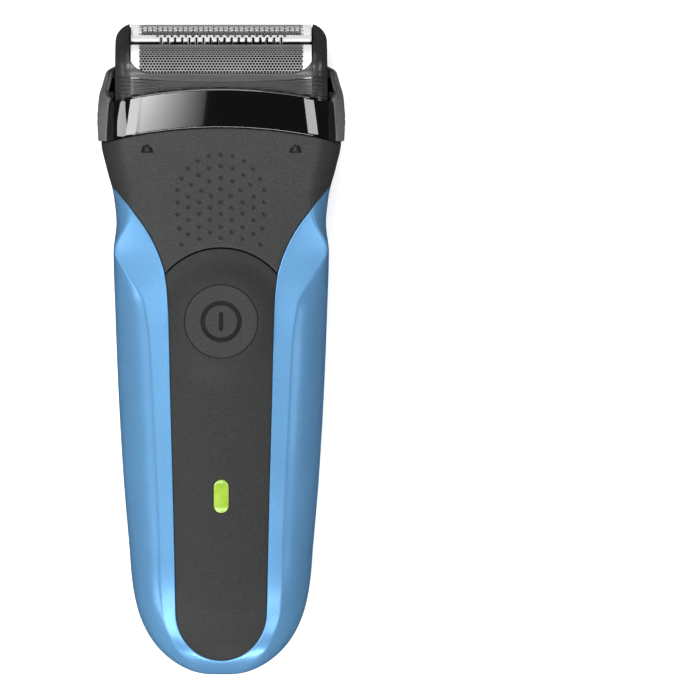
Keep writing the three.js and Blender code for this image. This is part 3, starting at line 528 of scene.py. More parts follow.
def shell(name, skin, edge, end, lines):
    """The lacquered shell between an inner outline and the parting."""
    tip = meeting_height(edge, SEAM)
    heights = end_heights(tip)
    border = np.concatenate([skin.line(PARTING_STEP, heights, 1), skin.line(PARTING_STEP, heights[::-1], -1)])
    right = edge_side(edge, edge[0][0], tip, SEAM)
    inner = np.concatenate([mirrored(right), round_end(edge, end, SEAM), right])
    x, y = inner.T
    outline = np.concatenate([border, skin.unroll(x, y)])
    return sheet(name, skin, outline, roll=0.25, thickness=WALL, spacing=1.1, edge_step=0.55, lines=lines)


def crease_lines():
    """Runs beside and on the crease between the front band and the side facet."""
    lines = []
    for side in (-1, 1):
        ridge = front.line(CREASE_STEP, np.linspace(-74, 37, 160), side)
        lines += [ridge + (offset, 0) for offset in (-0.45, 0, 0.45)]
    return lines


def with_socket_hole(piece):
    """The shell with the charging socket's slot cut through its bottom end."""
    reach = SOCKET_HALF_WIDTH - SOCKET_HALF_HEIGHT
    half = SOCKET_HALF_HEIGHT
    slot = np.concatenate([arc(reach, PARTING_Z, half, half, -90, 90, 24),
                           arc(-reach, PARTING_Z, half, half, 90, 270, 24)])
    points = [(x, y, z) for y in (-90, -62) for x, z in slot]
    size = len(slot)
    faces = grid_faces(2, size, wrap=True) + [tuple(range(size)), tuple(range(size, 2 * size))]
    cutter = mesh_object("socket_cutter", points, faces)
    cut = piece.modifiers.new("socket", "BOOLEAN")
    cut.object = cutter
    cut.operation = "DIFFERENCE"
    cut.solver = "EXACT"
    graph = bpy.context.evaluated_depsgraph_get()
    result = bpy.data.meshes.new_from_object(piece.evaluated_get(graph))
    piece.modifiers.clear()
    piece.data = result
    bpy.data.objects.remove(cutter)
    return piece


def front_shell():
    return with_socket_hole(shell("front_shell_skin", front, PANEL_EDGE, PANEL_END, crease_lines()))


def rear_shell():
    return with_socket_hole(shell("rear_shell_skin", rear, GRIP_EDGE, GRIP_END, []))


def seam_arc(radius):
    """The seam between the two front panels, from its right-hand end over the top to its left-hand end."""
    angles = np.radians(np.linspace(0, 90, 200))
    x, y = radius * np.cos(angles), BUTTON_Y + radius * np.sin(angles)
    start = np.argmax(x < along(PANEL_EDGE, y) - SEAM)
    right = np.stack([x, y], axis=1)[start:]
    return np.concatenate([right, mirrored(right)[1:]])


def lower_panel():
    top = seam_arc(SEAM_ARC_RADIUS - PANEL_SEAM)
    right = edge_side(PANEL_EDGE, PANEL_EDGE[0][0], top[0][1], -SEAM)
    outline = np.concatenate([top, mirrored(right), round_end(PANEL_EDGE, PANEL_END, -SEAM), right])
    reach = BUTTON_RADIUS + BUTTON_GAP
    holes = [arc(0, BUTTON_Y, reach, reach, 0, 360, 100)[:-1],
             stadium(0, LENS_Y, LENS_HALF_WIDTH + LENS_GAP, LENS_HALF_LENGTH + LENS_GAP)]
    unrolled = [front.unroll(*loop.T) for loop in (outline, *holes)]

    def relief(points):
        places = front.place(points)
        distance = np.hypot(places[:, 0], places[:, 1] - BUTTON_Y)
        return MOUND * (1 - smooth_step(BUTTON_RADIUS + 0.4, SEAM_ARC_RADIUS - 1.5, distance))

    return sheet("lower_front_panel_skin", upright_near_button(front), unrolled[0], unrolled[1:], roll=0.15,
                 thickness=WALL, spacing=1.1, relief=relief)


def dimple_places():
    """The grip dimples: arcs over the top and staggered columns below."""
    places = []
    centre = 36.9
    for radius, step in ((10.9, 15.6), (8.1, 21.3), (5.25, 32.7), (2.5, 70)):
        for k in range(-int(90 / step), int(90 / step) + 1):
            angle = math.radians(k * step)
            places.append((radius * math.sin(angle), centre + radius * math.cos(angle)))
    columns = {0: (36.2, 33.4, 30.2, 27.5), 2.67: (34.9, 31.9, 28.9), 5.33: (36.2, 33.4, 30.2, 27.2),
               8: (34.9, 31.8, 28.4), 10.6: (36.2, 33.2), 10.2: (29.8,), 9.7: (25.9,)}
    for x, heights in columns.items():
        for y in heights:
            places += [(x, y)] if x == 0 else [(x, y), (-x, y)]
    return np.array(places)


DIMPLE_RADIUS = 0.6
DIMPLE_DEPTH = 0.5
DIMPLE_RINGS = ((0.22, 6), (0.43, 8), (0.62, 10), (0.78, 10))  # radius and number of the mesh's points


def cover_outline(skin, edge, top, low, bottom):
    """A cover's unrolled outline: its right side, arched top, left side and then bottom."""
    tip = meeting_height(edge, -SEAM)
    right = skin.unroll(*edge_side(edge, low, tip, -SEAM).T)
    x = np.linspace(COVER_REACH, -COVER_REACH, 120)
    across = skin.unroll(x, arch(top, x) - SEAM)
    side = skin.line(PARTING_STEP, np.linspace(tip, top[1] - SEAM, 24), 1)
    return np.concatenate([right, side, across, mirrored(side), mirrored(right), skin.unroll(*bottom.T)])


def upper_panel():
    low = seam_arc(SEAM_ARC_RADIUS + PANEL_SEAM)
    outline = cover_outline(front, PANEL_EDGE, COVER_TOP, low[0][1], low[::-1])
    pits = front.unroll(*dimple_places().T)
    rings = [pits]
    for radius, count in DIMPLE_RINGS:
        for k in range(count):
            angle = 2 * math.pi * (k + 0.5 * (radius > 0.3)) / count
            rings.append(pits + (radius * math.cos(angle), radius * math.sin(angle)))

    def relief(points):
        nearest = np.full(len(points), np.inf)
        for pit in pits:
            nearest = np.minimum(nearest, np.linalg.norm(points - pit, axis=1))
        return -DIMPLE_DEPTH * np.clip(1 - (nearest / DIMPLE_RADIUS) ** 2, 0, 1)

    return sheet("upper_front_panel_skin", front, outline, thickness=WALL, spacing=1.1,
                 extra=np.concatenate(rings), relief=relief)


GRIP_RIB_PITCH = 3.2
GRIP_RIB_DEPTH = 0.55


def rear_grip():
    below = round_end(GRIP_EDGE, GRIP_END, -SEAM, 50)
    outline = cover_outline(rear, GRIP_EDGE, GRIP_TOP, GRIP_EDGE[0][0], below)

    def relief(points):
        a, v = points.T
        y = np.interp(v, rear.vs, rear.ys)
        bowed = y + 0.02 * a**2
        wave = 0.5 + 0.5 * np.cos(2 * np.pi * bowed / GRIP_RIB_PITCH)
        field = smooth_step(-46, -43, y) * (1 - smooth_step(33, 36, y))
        field *= 1 - smooth_step(0.75, 0.9, np.abs(a) / along(GRIP_EDGE, y))
        return -GRIP_RIB_DEPTH * smooth_step(0.45, 0.8, wave) * field

    return sheet("rear_grip_skin", rear, outline, thickness=WALL, spacing=0.8, relief=relief)


BLOCK_TAPER = 0.6
CAP_NUB_PLACE = (18.1, 49.4)
# Levels of the near-black plate under each nub: painted shade around the wedge.
SHADE_PLATE_LEVELS = [(1.5, -1.2, 1.05, -0.5), (1.5, -1.2, 1.05, 0.03), (1.42, -1.14, 1.0, 0.07)]
NUB_LEVELS = [(0.95, -1.0, 0.8, -0.3), (0.9, -0.98, 0.75, 0.1), (0.4, -0.7, 0.2, 0.85),
              (0.3, -0.55, 0.1, 0.9)]


def tapered_block(name, x, y, base_z, levels):
    """A block with a wider lower side, from (half width, low, high, lift) levels."""
    points = []
    for half_wide, low, high, lift in levels:
        upper = half_wide * BLOCK_TAPER
        for dx, dy in ((-half_wide, low), (half_wide, low), (upper, high), (-upper, high)):
            points.append((x + dx, y + dy, base_z + lift))
    faces = grid_faces(len(levels), 4, wrap=True) + [(3, 2, 1, 0)]
    faces.append(tuple(len(points) - 4 + k for k in range(4)))
    piece = mesh_object(name, points, faces)
    for face in piece.data.polygons:
        face.use_smooth = False
    return piece


def cap_nub(side):
    """One of the two small wedges on the upper panel, and a wider near-black plate under it, whose rim shows
    as painted shade along the wedge's sides.
    """
    x, y = CAP_NUB_PLACE[0] * side, CAP_NUB_PLACE[1]
    z = front.place(front.unroll([x], [y]))[0][2]
    shade_plate = tapered_block("cap_nub_painted_shade_" + left_or_right(side), x, y, z, SHADE_PLATE_LEVELS)
    nub = tapered_block("cap_nub_" + left_or_right(side), x, y, z, NUB_LEVELS)
    return nub, shade_plate


# ---------------------------------------------------------------- the power button and the charge light

def plan_surface(lift, dish=0.0, radius=1.0):
    """The front skin seen in plan, raised by a lift and dished around the button's centre."""
    def place(points):
        x, y = points.T
        around = front.place(front.unroll(x, y))
        distance = np.hypot(x, y - BUTTON_Y) / radius
        around[:, 2] += lift - dish * np.clip(1 - distance**2, 0, 1)
        return around
    return lambda points: with_normals(place, points)


SYMBOL_OUTER = 5
SYMBOL_INNER = 4
BAR_HALF = (0.48, 2.3)


def ring_outline(radius):
    return arc(0, BUTTON_Y, radius, radius, 0, 360, 90)[:-1]


def power_button():
    cap = upright_near_button(plan_surface(MOUND + 0.2, BUTTON_DISH, BUTTON_RADIUS))
    rim = sheet("power_button_rim", cap, ring_outline(BUTTON_RADIUS), [ring_outline(SYMBOL_OUTER)], roll=0.18,
                thickness=2.6, spacing=0.7, edge_step=0.4)
    core = sheet("power_button_core", cap, ring_outline(SYMBOL_INNER),
                 [stadium(0, BUTTON_Y, *BAR_HALF)], roll=0.12, thickness=2.6, spacing=0.5, edge_step=0.3)
    inlay = upright_near_button(plan_surface(MOUND - 0.05, BUTTON_DISH, BUTTON_RADIUS))
    symbol = sheet("power_button_symbol", inlay, ring_outline(SYMBOL_OUTER + 0.1), roll=0.05, thickness=2,
                   spacing=0.6, edge_step=0.4)
    return [rim, core], symbol


def indicator_lens():
    def relief(points):
        x, y = points.T
        reach = np.maximum(np.abs(y - LENS_Y) - (LENS_HALF_LENGTH - LENS_HALF_WIDTH), 0)
        return 0.28 * np.sqrt(np.clip(1 - np.hypot(x, reach) ** 2 / LENS_HALF_WIDTH**2, 0, 1))

    outline = stadium(0, LENS_Y, LENS_HALF_WIDTH, LENS_HALF_LENGTH)
    return sheet("indicator_lens_cap", plan_surface(-0.1), outline, roll=0.15, thickness=2.2, spacing=0.35,
                 edge_step=0.3, relief=relief)


# ---------------------------------------------------------------- the neck

def neck_place(points):
    """A point of the neck: t runs around it from the middle of its front, y up it in the head's frame."""
    t, y = points.T
    straight = NECK_HALF_WIDTH - NECK_NARROWING * y - NECK_CORNER
    quarter = NECK_CORNER * np.pi / 2
    depth = 2 * (NECK_HALF_DEPTH - NECK_CORNER)
    s = np.abs(t)
    first = np.clip((s - straight) / NECK_CORNER, 0, np.pi / 2)
    down = np.clip(s - straight - quarter, 0, depth)
    second = np.clip((s - straight - quarter - depth) / NECK_CORNER, 0, np.pi / 2)
    back = np.clip(s - straight - 2 * quarter - depth, 0, None)
    x = np.minimum(s, straight) + NECK_CORNER * (np.sin(first) - 1 + np.cos(second)) - back
    z = NECK_HALF_DEPTH - NECK_CORNER * (1 - np.cos(first) + np.sin(second)) - down
    z = z - FRONT_CROWN[-1][1] * np.minimum(s, straight) ** 2 * (1 - down / depth)
    return from_head(np.sign(t) * x, y, z)


def neck_surface(points):
    return with_normals(neck_place, points)


def neck_height(t, wanted):
    """The head's height at which the neck's point at t has the y that wanted gives for its x."""
    y = np.zeros_like(t)
    for _ in range(12):
        place = neck_place(np.stack([t, y], axis=1))
        y = y + (wanted(place[:, 0]) - place[:, 1]) / math.cos(TILT)
    return y


BAND_HALF_WIDTH = 28.0
# Past this half width the band's ends are painted dark instead of shining.
BAND_SHINE_END = 26.3
NECK_STRAIGHT = NECK_HALF_WIDTH - NECK_CORNER
BAND_END = NECK_STRAIGHT + NECK_CORNER * math.asin((BAND_HALF_WIDTH - NECK_STRAIGHT) / NECK_CORNER)


def gloss_band():
    t = np.linspace(-BAND_END, BAND_END, 200)
    low = neck_height(t, lambda x: arch(COVER_TOP, x) + SEAM)
    high = neck_height(t, lambda x: arch(COVER_TOP, x) + BAND_HEIGHT)
    outline = np.concatenate([np.stack([t, low], axis=1), np.stack([t, high], axis=1)[::-1]])

    def relief(points):
        bottom = np.interp(points[:, 0], t, low)
        top = np.interp(points[:, 0], t, high)
        share = (points[:, 1] - bottom) / (top - bottom)
        return -0.12 * (2 * share - 1) ** 2

    rows = [np.stack([t[1:-1], (low + (high - low) * share)[1:-1]], axis=1) for share in (0.08, 0.92)]
    return sheet("gloss_band_skin", neck_surface, outline, roll=0.3, thickness=1.2, spacing=0.6,
                 edge_step=0.3, lines=rows, relief=relief)


def side_distance(y):
    """How far around the neck the side's middle line is, at a height in the head's frame."""
    return (NECK_HALF_WIDTH - NECK_NARROWING * y - NECK_CORNER + NECK_CORNER * np.pi / 2
            + NECK_HALF_DEPTH - NECK_CORNER)


BACK_REACH = 20.6  # how far each half of the neck's wall runs along the flat of its back


def neck_half(side):
    """Half of the neck's outer wall, from the band's end to the middle of the back."""
    back_end = side_distance(0) + NECK_HALF_DEPTH - NECK_CORNER + NECK_CORNER * np.pi / 2 + BACK_REACH
    t = np.linspace(BAND_END + 0.15, back_end, 160)

    def lower_edge(x):
        place_z = neck_place(np.stack([t, np.full_like(t, -4.0)], axis=1))[:, 2]
        front_side = place_z > PARTING_Z
        return np.where(front_side, arch(COVER_TOP, x), arch(GRIP_TOP, x)) + SEAM + 0.1

    low = neck_height(t, lower_edge)
    high = np.full_like(t, NECK_TOP + 0.1)
    outline = np.concatenate([np.stack([t, low], axis=1), np.stack([t, high], axis=1)[::-1]])
    angles = np.radians(np.linspace(0, 360, 80)[:-1])
    y = RELEASE_CENTRE + (RELEASE_HALF_HEIGHT + 0.25) * np.sin(angles)
    window = np.stack([side_distance(y) + (RELEASE_HALF_DEPTH + 0.25) * np.cos(angles), y], axis=1)
    if side < 0:
        outline, window = outline * (-1, 1), window * (-1, 1)

    def relief(points):
        t, y = np.abs(points[:, 0]), points[:, 1]
        bulge = along(RELEASE_FACE, y) - (NECK_HALF_WIDTH - NECK_NARROWING * y) - 0.25
        middle = side_distance(y)
        fade = smooth_step(BAND_END, middle - RELEASE_HALF_DEPTH, t)
        fade *= 1 - smooth_step(middle + RELEASE_HALF_DEPTH, middle + 14, t)
        return 0.12 + np.clip(bulge, 0, None) * fade

    return sheet("neck_wall_" + left_or_right(side), neck_surface, outline, [window], roll=0.3, thickness=0.9,
                 spacing=0.9, edge_step=0.6, relief=relief)


def release_button(side):
    """A soft pad with three ribs across its lower half."""
    def place(points):
        y, z = points.T
        x = along(RELEASE_FACE, y) - 0.9 * (z / RELEASE_HALF_DEPTH) ** 2
        return from_head(side * x, y, z)

    def relief(points):
        y, z = points.T
        ribs = 0.5 - 0.5 * np.cos(2 * np.pi * (y + 5.6) / 2.15)
        field = smooth_step(-5.7, -5.2, y) * (1 - smooth_step(0.6, 1.0, y))
        reach = 1 - smooth_step(0.72, 0.92, np.abs(z) / RELEASE_HALF_DEPTH)
        return -0.5 * (1 - smooth_step(0.2, 0.7, ribs)) * field * reach

    outline = arc(RELEASE_CENTRE, 0, RELEASE_HALF_HEIGHT, RELEASE_HALF_DEPTH, 0, 360, 90)[:-1]
    turned = outline if side > 0 else outline * (1, -1)
    return sheet("release_pad_" + left_or_right(side), lambda p: outward(with_normals(place, p), side),
                 turned, roll=0.45, thickness=0.55, spacing=0.35, edge_step=0.5, relief=relief)


def outward(made, side):
    """The same places with normals that point to the given side of the shaver."""
    places, normals = made
    return places, normals * np.where(normals[:, :1] * side < 0, -1, 1)


# ---------------------------------------------------------------- the foil cassette

CAP_DIP = 1.1
WINDOW_CORNER = 5.6
PROFILE_WALL = 190
PROFILE_ARC = 22
PROFILE_BRIDGE = 14


def cassette_profile(inset):
    """(y, z) along the outer profile from the front's lower edge over the top to the rear's lower edge."""
    depth = CASSETTE_HALF_DEPTH - inset
    radius = CAP_RADIUS - inset
    bend = 0.12
    lean_y, lean_z = FOIL_CENTRE + radius * math.sin(bend), FOIL_PITCH + radius * math.cos(bend)
    wall = np.linspace(0, 1, PROFILE_WALL, endpoint=False)
    rise = CASSETTE_BOTTOM + wall * (lean_y - CASSETTE_BOTTOM)
    lean = smooth_step(9.5, lean_y + 3, rise) / smooth_step(9.5, lean_y + 3, lean_y)
    first = np.stack([rise, depth + lean * (lean_z - depth)], axis=1)
    angles = np.linspace(bend, np.pi / 2, PROFILE_ARC, endpoint=False)
    second = np.stack([FOIL_CENTRE + radius * np.sin(angles), FOIL_PITCH + radius * np.cos(angles)], axis=1)
    z = np.linspace(FOIL_PITCH, 0, PROFILE_BRIDGE, endpoint=False)
    dip = CAP_DIP * (0.5 + 0.5 * np.cos(np.pi * np.clip(z / 5, 0, 1)))
    third = np.stack([FOIL_CENTRE + radius - dip, z], axis=1)
    half = np.concatenate([first, second, third])
    middle = np.array([[FOIL_CENTRE + radius - CAP_DIP, 0]])
    return np.concatenate([half, middle, half[::-1] * (1, -1)])


RIB_COUNT = 7
RIB_TOP = 65.5
RIB_RISE = 0.72  # share of a rib's pitch over which its sawtooth rises, and then falls
RIB_FALL = 0.28


def rib_depth(x, y):
    """How deep the fine ribs below the foils are cut, at (x, y) in plan."""
    top = RIB_TOP + 1.5 * (x / 24) ** 2
    bottom = arch(COVER_TOP, x) + BAND_HEIGHT - 1.2
    share = (y - bottom) / (top - bottom)
    field = 1 - smooth_step(0.96, 1.0, share)
    height = np.clip((top - bottom) / 6, 0, 1)
    turn = RIB_COUNT * share % 1
    ribs = np.minimum(turn / RIB_RISE, (1 - turn) / RIB_FALL)
    return field * (0.1 + 0.5 * height**1.3 * ribs)


def corner_inset(x):
    over = np.clip(np.abs(x) - (CASSETTE_HALF_WIDTH - CASSETTE_CORNER), 0, CASSETTE_CORNER)
    return CASSETTE_CORNER - np.sqrt(CASSETTE_CORNER**2 - over**2)


def cassette_ring(x):
    """The outer profile at x, with the ribs cut into its front and rear."""
    profile = cassette_profile(corner_inset(x))
    mirror = from_head(x, profile[:, 0], np.abs(profile[:, 1]))
    cut = rib_depth(x, mirror[:, 1]) * (profile[:, 0] < FOIL_CENTRE + 2)
    slope = np.gradient(profile, axis=0)
    normal = np.stack([slope[:, 1], -slope[:, 0]], axis=1)
    normal /= np.linalg.norm(normal, axis=1, keepdims=True)
    outward_z = np.where(profile[:, 1] * normal[:, 1] < 0, -1, 1)[:, None]
    return profile - normal * outward_z * cut[:, None]


def cassette_end(side):
    """An end cap: the profile swept outwards with its rim rounded over, closed by its two flat faces."""
    xs = [CAP_INNER, CAP_INNER + 0.06, CAP_INNER + 0.25]
    pulls = [0.28, 0.08, 0.0]
    start = CASSETTE_HALF_WIDTH - CASSETTE_CORNER
    for turn in np.radians(np.linspace(18, 90, 15)):
        xs.append(start + CASSETTE_CORNER * math.sin(turn))
        pulls.append(0)
    rings = []
    for x, pull in zip(xs, pulls):
        profile = cassette_ring(min(x, CASSETTE_HALF_WIDTH - 1e-4))
        above = smooth_step(WALL_TOP + 3, WALL_TOP + 4, profile[:, 0])[:, None]
        toward = np.array([FOIL_CENTRE - 4, 0]) - profile
        toward /= np.linalg.norm(toward, axis=1, keepdims=True)
        profile = profile + toward * pull * above
        rings.append(from_head(side * x, profile[:, 0], profile[:, 1]))
    size = len(rings[0])
    faces = grid_faces(len(rings), size)
    for ring in (0, len(rings) - 1):
        base = ring * size
        last = base + size - 1
        faces += [(base + k, base + k + 1, last - 1 - k, last - k) for k in range(size // 2)]
    return np.concatenate(rings), faces + closing_faces(len(rings), size)


def cassette_wall(facing):
    """The front or rear wall under a foil, with its top edge rounded and rising into the end caps."""
    lip = 0.45
    xs = np.linspace(-CAP_INNER - 0.1, CAP_INNER + 0.1, 141)
    rows = []
    for x in xs:
        profile = cassette_ring(x)[:PROFILE_WALL + PROFILE_ARC]
        lengths = lengths_along(profile)
        top = np.interp(WALL_TOP, profile[:PROFILE_WALL + 6, 0], lengths[:PROFILE_WALL + 6])
        over = np.clip((abs(x) - (CAP_INNER - WINDOW_CORNER)) / WINDOW_CORNER, 0, 1)
        top += 4.6 * (1 - math.sqrt(max(0, 1 - over**2)))
        at = np.linspace(0, top - lip, 200)
        outside = np.stack([np.interp(at, lengths, profile[:, k]) for k in (0, 1)], axis=1)
        slope = outside[-1] - outside[-2]
        slope /= np.linalg.norm(slope)
        inward = np.array([slope[1], -slope[0]])
        inward *= -1 if inward[1] > 0 else 1
        turns = np.radians(np.linspace(15, 165, 9))
        edge = [outside[-1] + slope * lip * math.sin(t) + inward * lip * (1 - math.cos(t)) for t in turns]
        inside_top = outside[-1] + inward * 2 * lip
        inner_z = min(inside_top[1], CASSETTE_HALF_DEPTH - CASSETTE_WALL)
        inner = np.array([inside_top, (WALL_TOP - 4, inner_z), (CASSETTE_BOTTOM, inner_z)])
        column = np.concatenate([outside, edge, inner])
        rows.append(from_head(x, column[:, 0], facing * column[:, 1]))
    size = len(rows[0])
    faces = grid_faces(len(rows), size) + closing_faces(len(rows), size)
    faces += [tuple(range(size)), tuple(range((len(rows) - 1) * size, len(rows) * size))]
    return np.concatenate(rows), faces


def cassette_frame():
    points, faces, total = [], [], 0
    for part_points, part_faces in (cassette_end(-1), cassette_end(1), cassette_wall(1), cassette_wall(-1)):
        points.append(part_points)
        faces += [tuple(k + total for k in face) for face in part_faces]
        total += len(part_points)
    return mesh_object("cassette_frame", np.concatenate(points), faces)


HOLE_PITCH = 0.76
HOLE_RADIUS = 0.36
FIELD_HALF_LENGTH = 19.9
FIELD_HALF_ARC = 8.3


def foil(side):
    """A thin sheet bent over its cutter, with a field of hexagonal holes."""
    quarter = FOIL_RADIUS * np.pi / 2

    def place(points):
        x, s = points.T
        turn = np.clip(s / FOIL_RADIUS, -np.pi / 2, np.pi / 2)
        leg = np.maximum(np.abs(s) - quarter, 0)
        return from_head(x, FOIL_CENTRE + FOIL_RADIUS * np.cos(turn) - leg,
                         side * FOIL_PITCH + FOIL_RADIUS * np.sin(turn))

    holes = []
    row_step = HOLE_PITCH * HEX_ROW
    rows = int(FIELD_HALF_ARC / row_step)
    columns = int(FIELD_HALF_LENGTH / HOLE_PITCH)
    corners = np.radians(np.arange(6) * 60 + 30)
    hexagon = HOLE_RADIUS * np.stack([np.cos(corners), np.sin(corners)], axis=1)
    for row in range(-rows, rows + 1):
        shift = 0.5 * (row % 2)
        for column in range(-columns, columns + (row % 2 == 0)):
            holes.append(hexagon + ((column + shift) * HOLE_PITCH, row * row_step))
    border = np.array([(-FOIL_HALF_LENGTH, -quarter - 2), (FOIL_HALF_LENGTH, -quarter - 2),
                       (FOIL_HALF_LENGTH, quarter + 2), (-FOIL_HALF_LENGTH, quarter + 2)])
    return perforated(front_or_rear(side) + "_foil_sheet", lambda p: with_normals(place, p), border, holes,
                      0.12, 0.7)


def perforated(name, surface, border, holes, thickness, step, extra=None):
    """A thin sheet with many small convex holes, as a closed mesh."""
    outer = resample(border, step)
    loops = [anticlockwise(outer)] + [np.asarray(hole)[::-1] for hole in holes]
    fixed = np.concatenate(loops)
    ends = np.concatenate([[0], np.cumsum([len(loop) for loop in loops])])
    free = hex_grid(outer.min(axis=0) + step, outer.max(axis=0) - step, step)
    centres = np.array([np.mean(hole, axis=0) for hole in holes])
    reach = np.array([np.max(np.linalg.norm(hole - centre, axis=1)) for hole, centre in zip(holes, centres)])
    if extra is not None:
        free = np.concatenate([free, extra])
    keep = inside(free, outer)
    for hole, centre, far in zip(holes, centres, reach):
        near = np.flatnonzero(np.linalg.norm(free - centre, axis=1) < far + 0.25 * step)
        if len(near):
            gaps = np.min(np.linalg.norm(free[near][:, None] - hole[None], axis=2), axis=1)
            keep[near[inside(free[near], hole) | (gaps < 0.25 * step)]] = False
    flat = np.concatenate([fixed, free[keep]])
    flat_out, triangles, position = triangulated(flat, loop_edges(ends), ends)
    triangles = triangles.tolist()
    places, normals = surface(flat_out)
    count = len(flat_out)
    faces = [tuple(t) for t in triangles] + [(a + count, c + count, b + count) for a, b, c in triangles]
    for first, last in zip(ends[:-1], ends[1:]):
        ring = [position[i] for i in range(first, last)]
        faces += strip(ring, [k + count for k in ring])
    return mesh_object(name, np.concatenate([places, places - normals * thickness]), faces)


TOOTH_PITCH = 1.73
TEETH = 18


def trimmer_comb():
    """The folded strip between the foils, slotted from both sides in turn so that its top winds."""
    fold = 0.3
    half = TRIMMER_HALF_DEPTH
    flat_half = half - fold
    bend = fold * np.pi / 2

    def place(points):
        x, s = points.T
        reach = np.abs(s)
        turn = np.clip((reach - flat_half) / fold, 0, np.pi / 2)
        leg = np.maximum(reach - flat_half - bend, 0)
        z = np.minimum(reach, flat_half) + fold * np.sin(turn)
        return from_head(x, TRIMMER_TOP - fold * (1 - np.cos(turn)) - leg, np.sign(s) * z)

    holes = []
    for k in range(2 * TEETH + 1):
        x = (k / 2 - TEETH / 2) * TOOTH_PITCH
        low, high = -0.35, half + 1.5
        slot = stadium(x, (low + high) / 2, 0.24, (high - low) / 2)[::6]
        holes.append(anticlockwise(slot) if k % 2 else anticlockwise(slot * (1, -1)))
    end = flat_half + bend + 5
    border = np.array([(-FOIL_HALF_LENGTH, -end), (FOIL_HALF_LENGTH, -end), (FOIL_HALF_LENGTH, end),
                       (-FOIL_HALF_LENGTH, end)])
    runs = np.arange(-FOIL_HALF_LENGTH + 0.3, FOIL_HALF_LENGTH, 0.45)
    folds = [flat_half + share * bend for share in (0, 0.33, 0.67, 1)]
    extra = np.array([(x, side * s) for s in folds for side in (-1, 1) for x in runs])
    return perforated("trimmer_comb_strip", lambda p: with_normals(place, p), border, holes, 0.3, 0.6, extra)


def trimmer_blade():
    """The moving teeth under the slotted strip."""
    points, faces = [], []
    half_teeth = TEETH + 1
    for k in range(-half_teeth, half_teeth + 1):
        x = k * TOOTH_PITCH / 2
        base = len(points)
        for y0, wide in ((TRIMMER_TOP - 3, 0.28), (TRIMMER_TOP - 0.8, 0.26), (TRIMMER_TOP - 0.5, 0.16)):
            for dx, dz in block_corners(wide, 0.85):
                points.append(from_head(x + dx, y0, dz))
        faces += [tuple(i + base for i in face) for face in grid_faces(3, 4, wrap=True)]
        faces += [(base + 3, base + 2, base + 1, base), (base + 8, base + 9, base + 10, base + 11)]
    base = len(points)
    for y0 in (TRIMMER_TOP - 6, TRIMMER_TOP - 2.6):
        for dx, dz in block_corners(18.4, 0.88):
            points.append(from_head(dx, y0, dz))
    faces += [tuple(i + base for i in face) for face in grid_faces(2, 4, wrap=True)]
    faces += [(base + 3, base + 2, base + 1, base), (base + 4, base + 5, base + 6, base + 7)]
    return mesh_object("trimmer_blade_teeth", np.array(points), faces)


BLADES = 32


def cutter_blades(side):
    """Thin arched blades in a row under a foil, on a round core."""
    outer, inner, core, thickness = 5.35, 4.1, 4.2, 0.32
    turns = np.radians(np.linspace(-88, 88, 25))
    points, faces = [], []
    for k in range(BLADES):
        x = -19.3 + 38.6 * k / (BLADES - 1)
        base = len(points)
        for dx in (-thickness / 2, thickness / 2):
            for radius in (outer, inner):
                for turn in turns:
                    points.append(from_head(x + dx, FOIL_CENTRE + radius * math.cos(turn),
                                            side * FOIL_PITCH + radius * math.sin(turn)))
        size = len(turns)
        a, b, c, d = (base + i * size for i in range(4))
        for i in range(size - 1):
            faces.append((a + i, a + i + 1, b + i + 1, b + i))
            faces.append((c + i, d + i, d + i + 1, c + i + 1))
            faces.append((a + i, c + i, c + i + 1, a + i + 1))
            faces.append((b + i, b + i + 1, d + i + 1, d + i))
        for i in (0, size - 1):
            faces.append((a + i, b + i, d + i, c + i))
    base = len(points)
    for x in (-19.5, 19.5):
        for turn in turns:
            points.append(from_head(x, FOIL_CENTRE + core * math.cos(turn),
                                    side * FOIL_PITCH + core * math.sin(turn)))
    size = len(turns)
    faces += [(base + i, base + i + 1, base + size + i + 1, base + size + i) for i in range(size - 1)]
    faces += [tuple(range(base, base + size)), tuple(range(base + size, base + 2 * size)),
              (base, base + size, base + 2 * size - 1, base + size - 1)]
    return mesh_object(front_or_rear(side) + "_cutter_arches", np.array(points), faces)


# ---------------------------------------------------------------- materials

NOISE_RANGE = (0.3, 0.7)  # where most of a noise texture's values lie


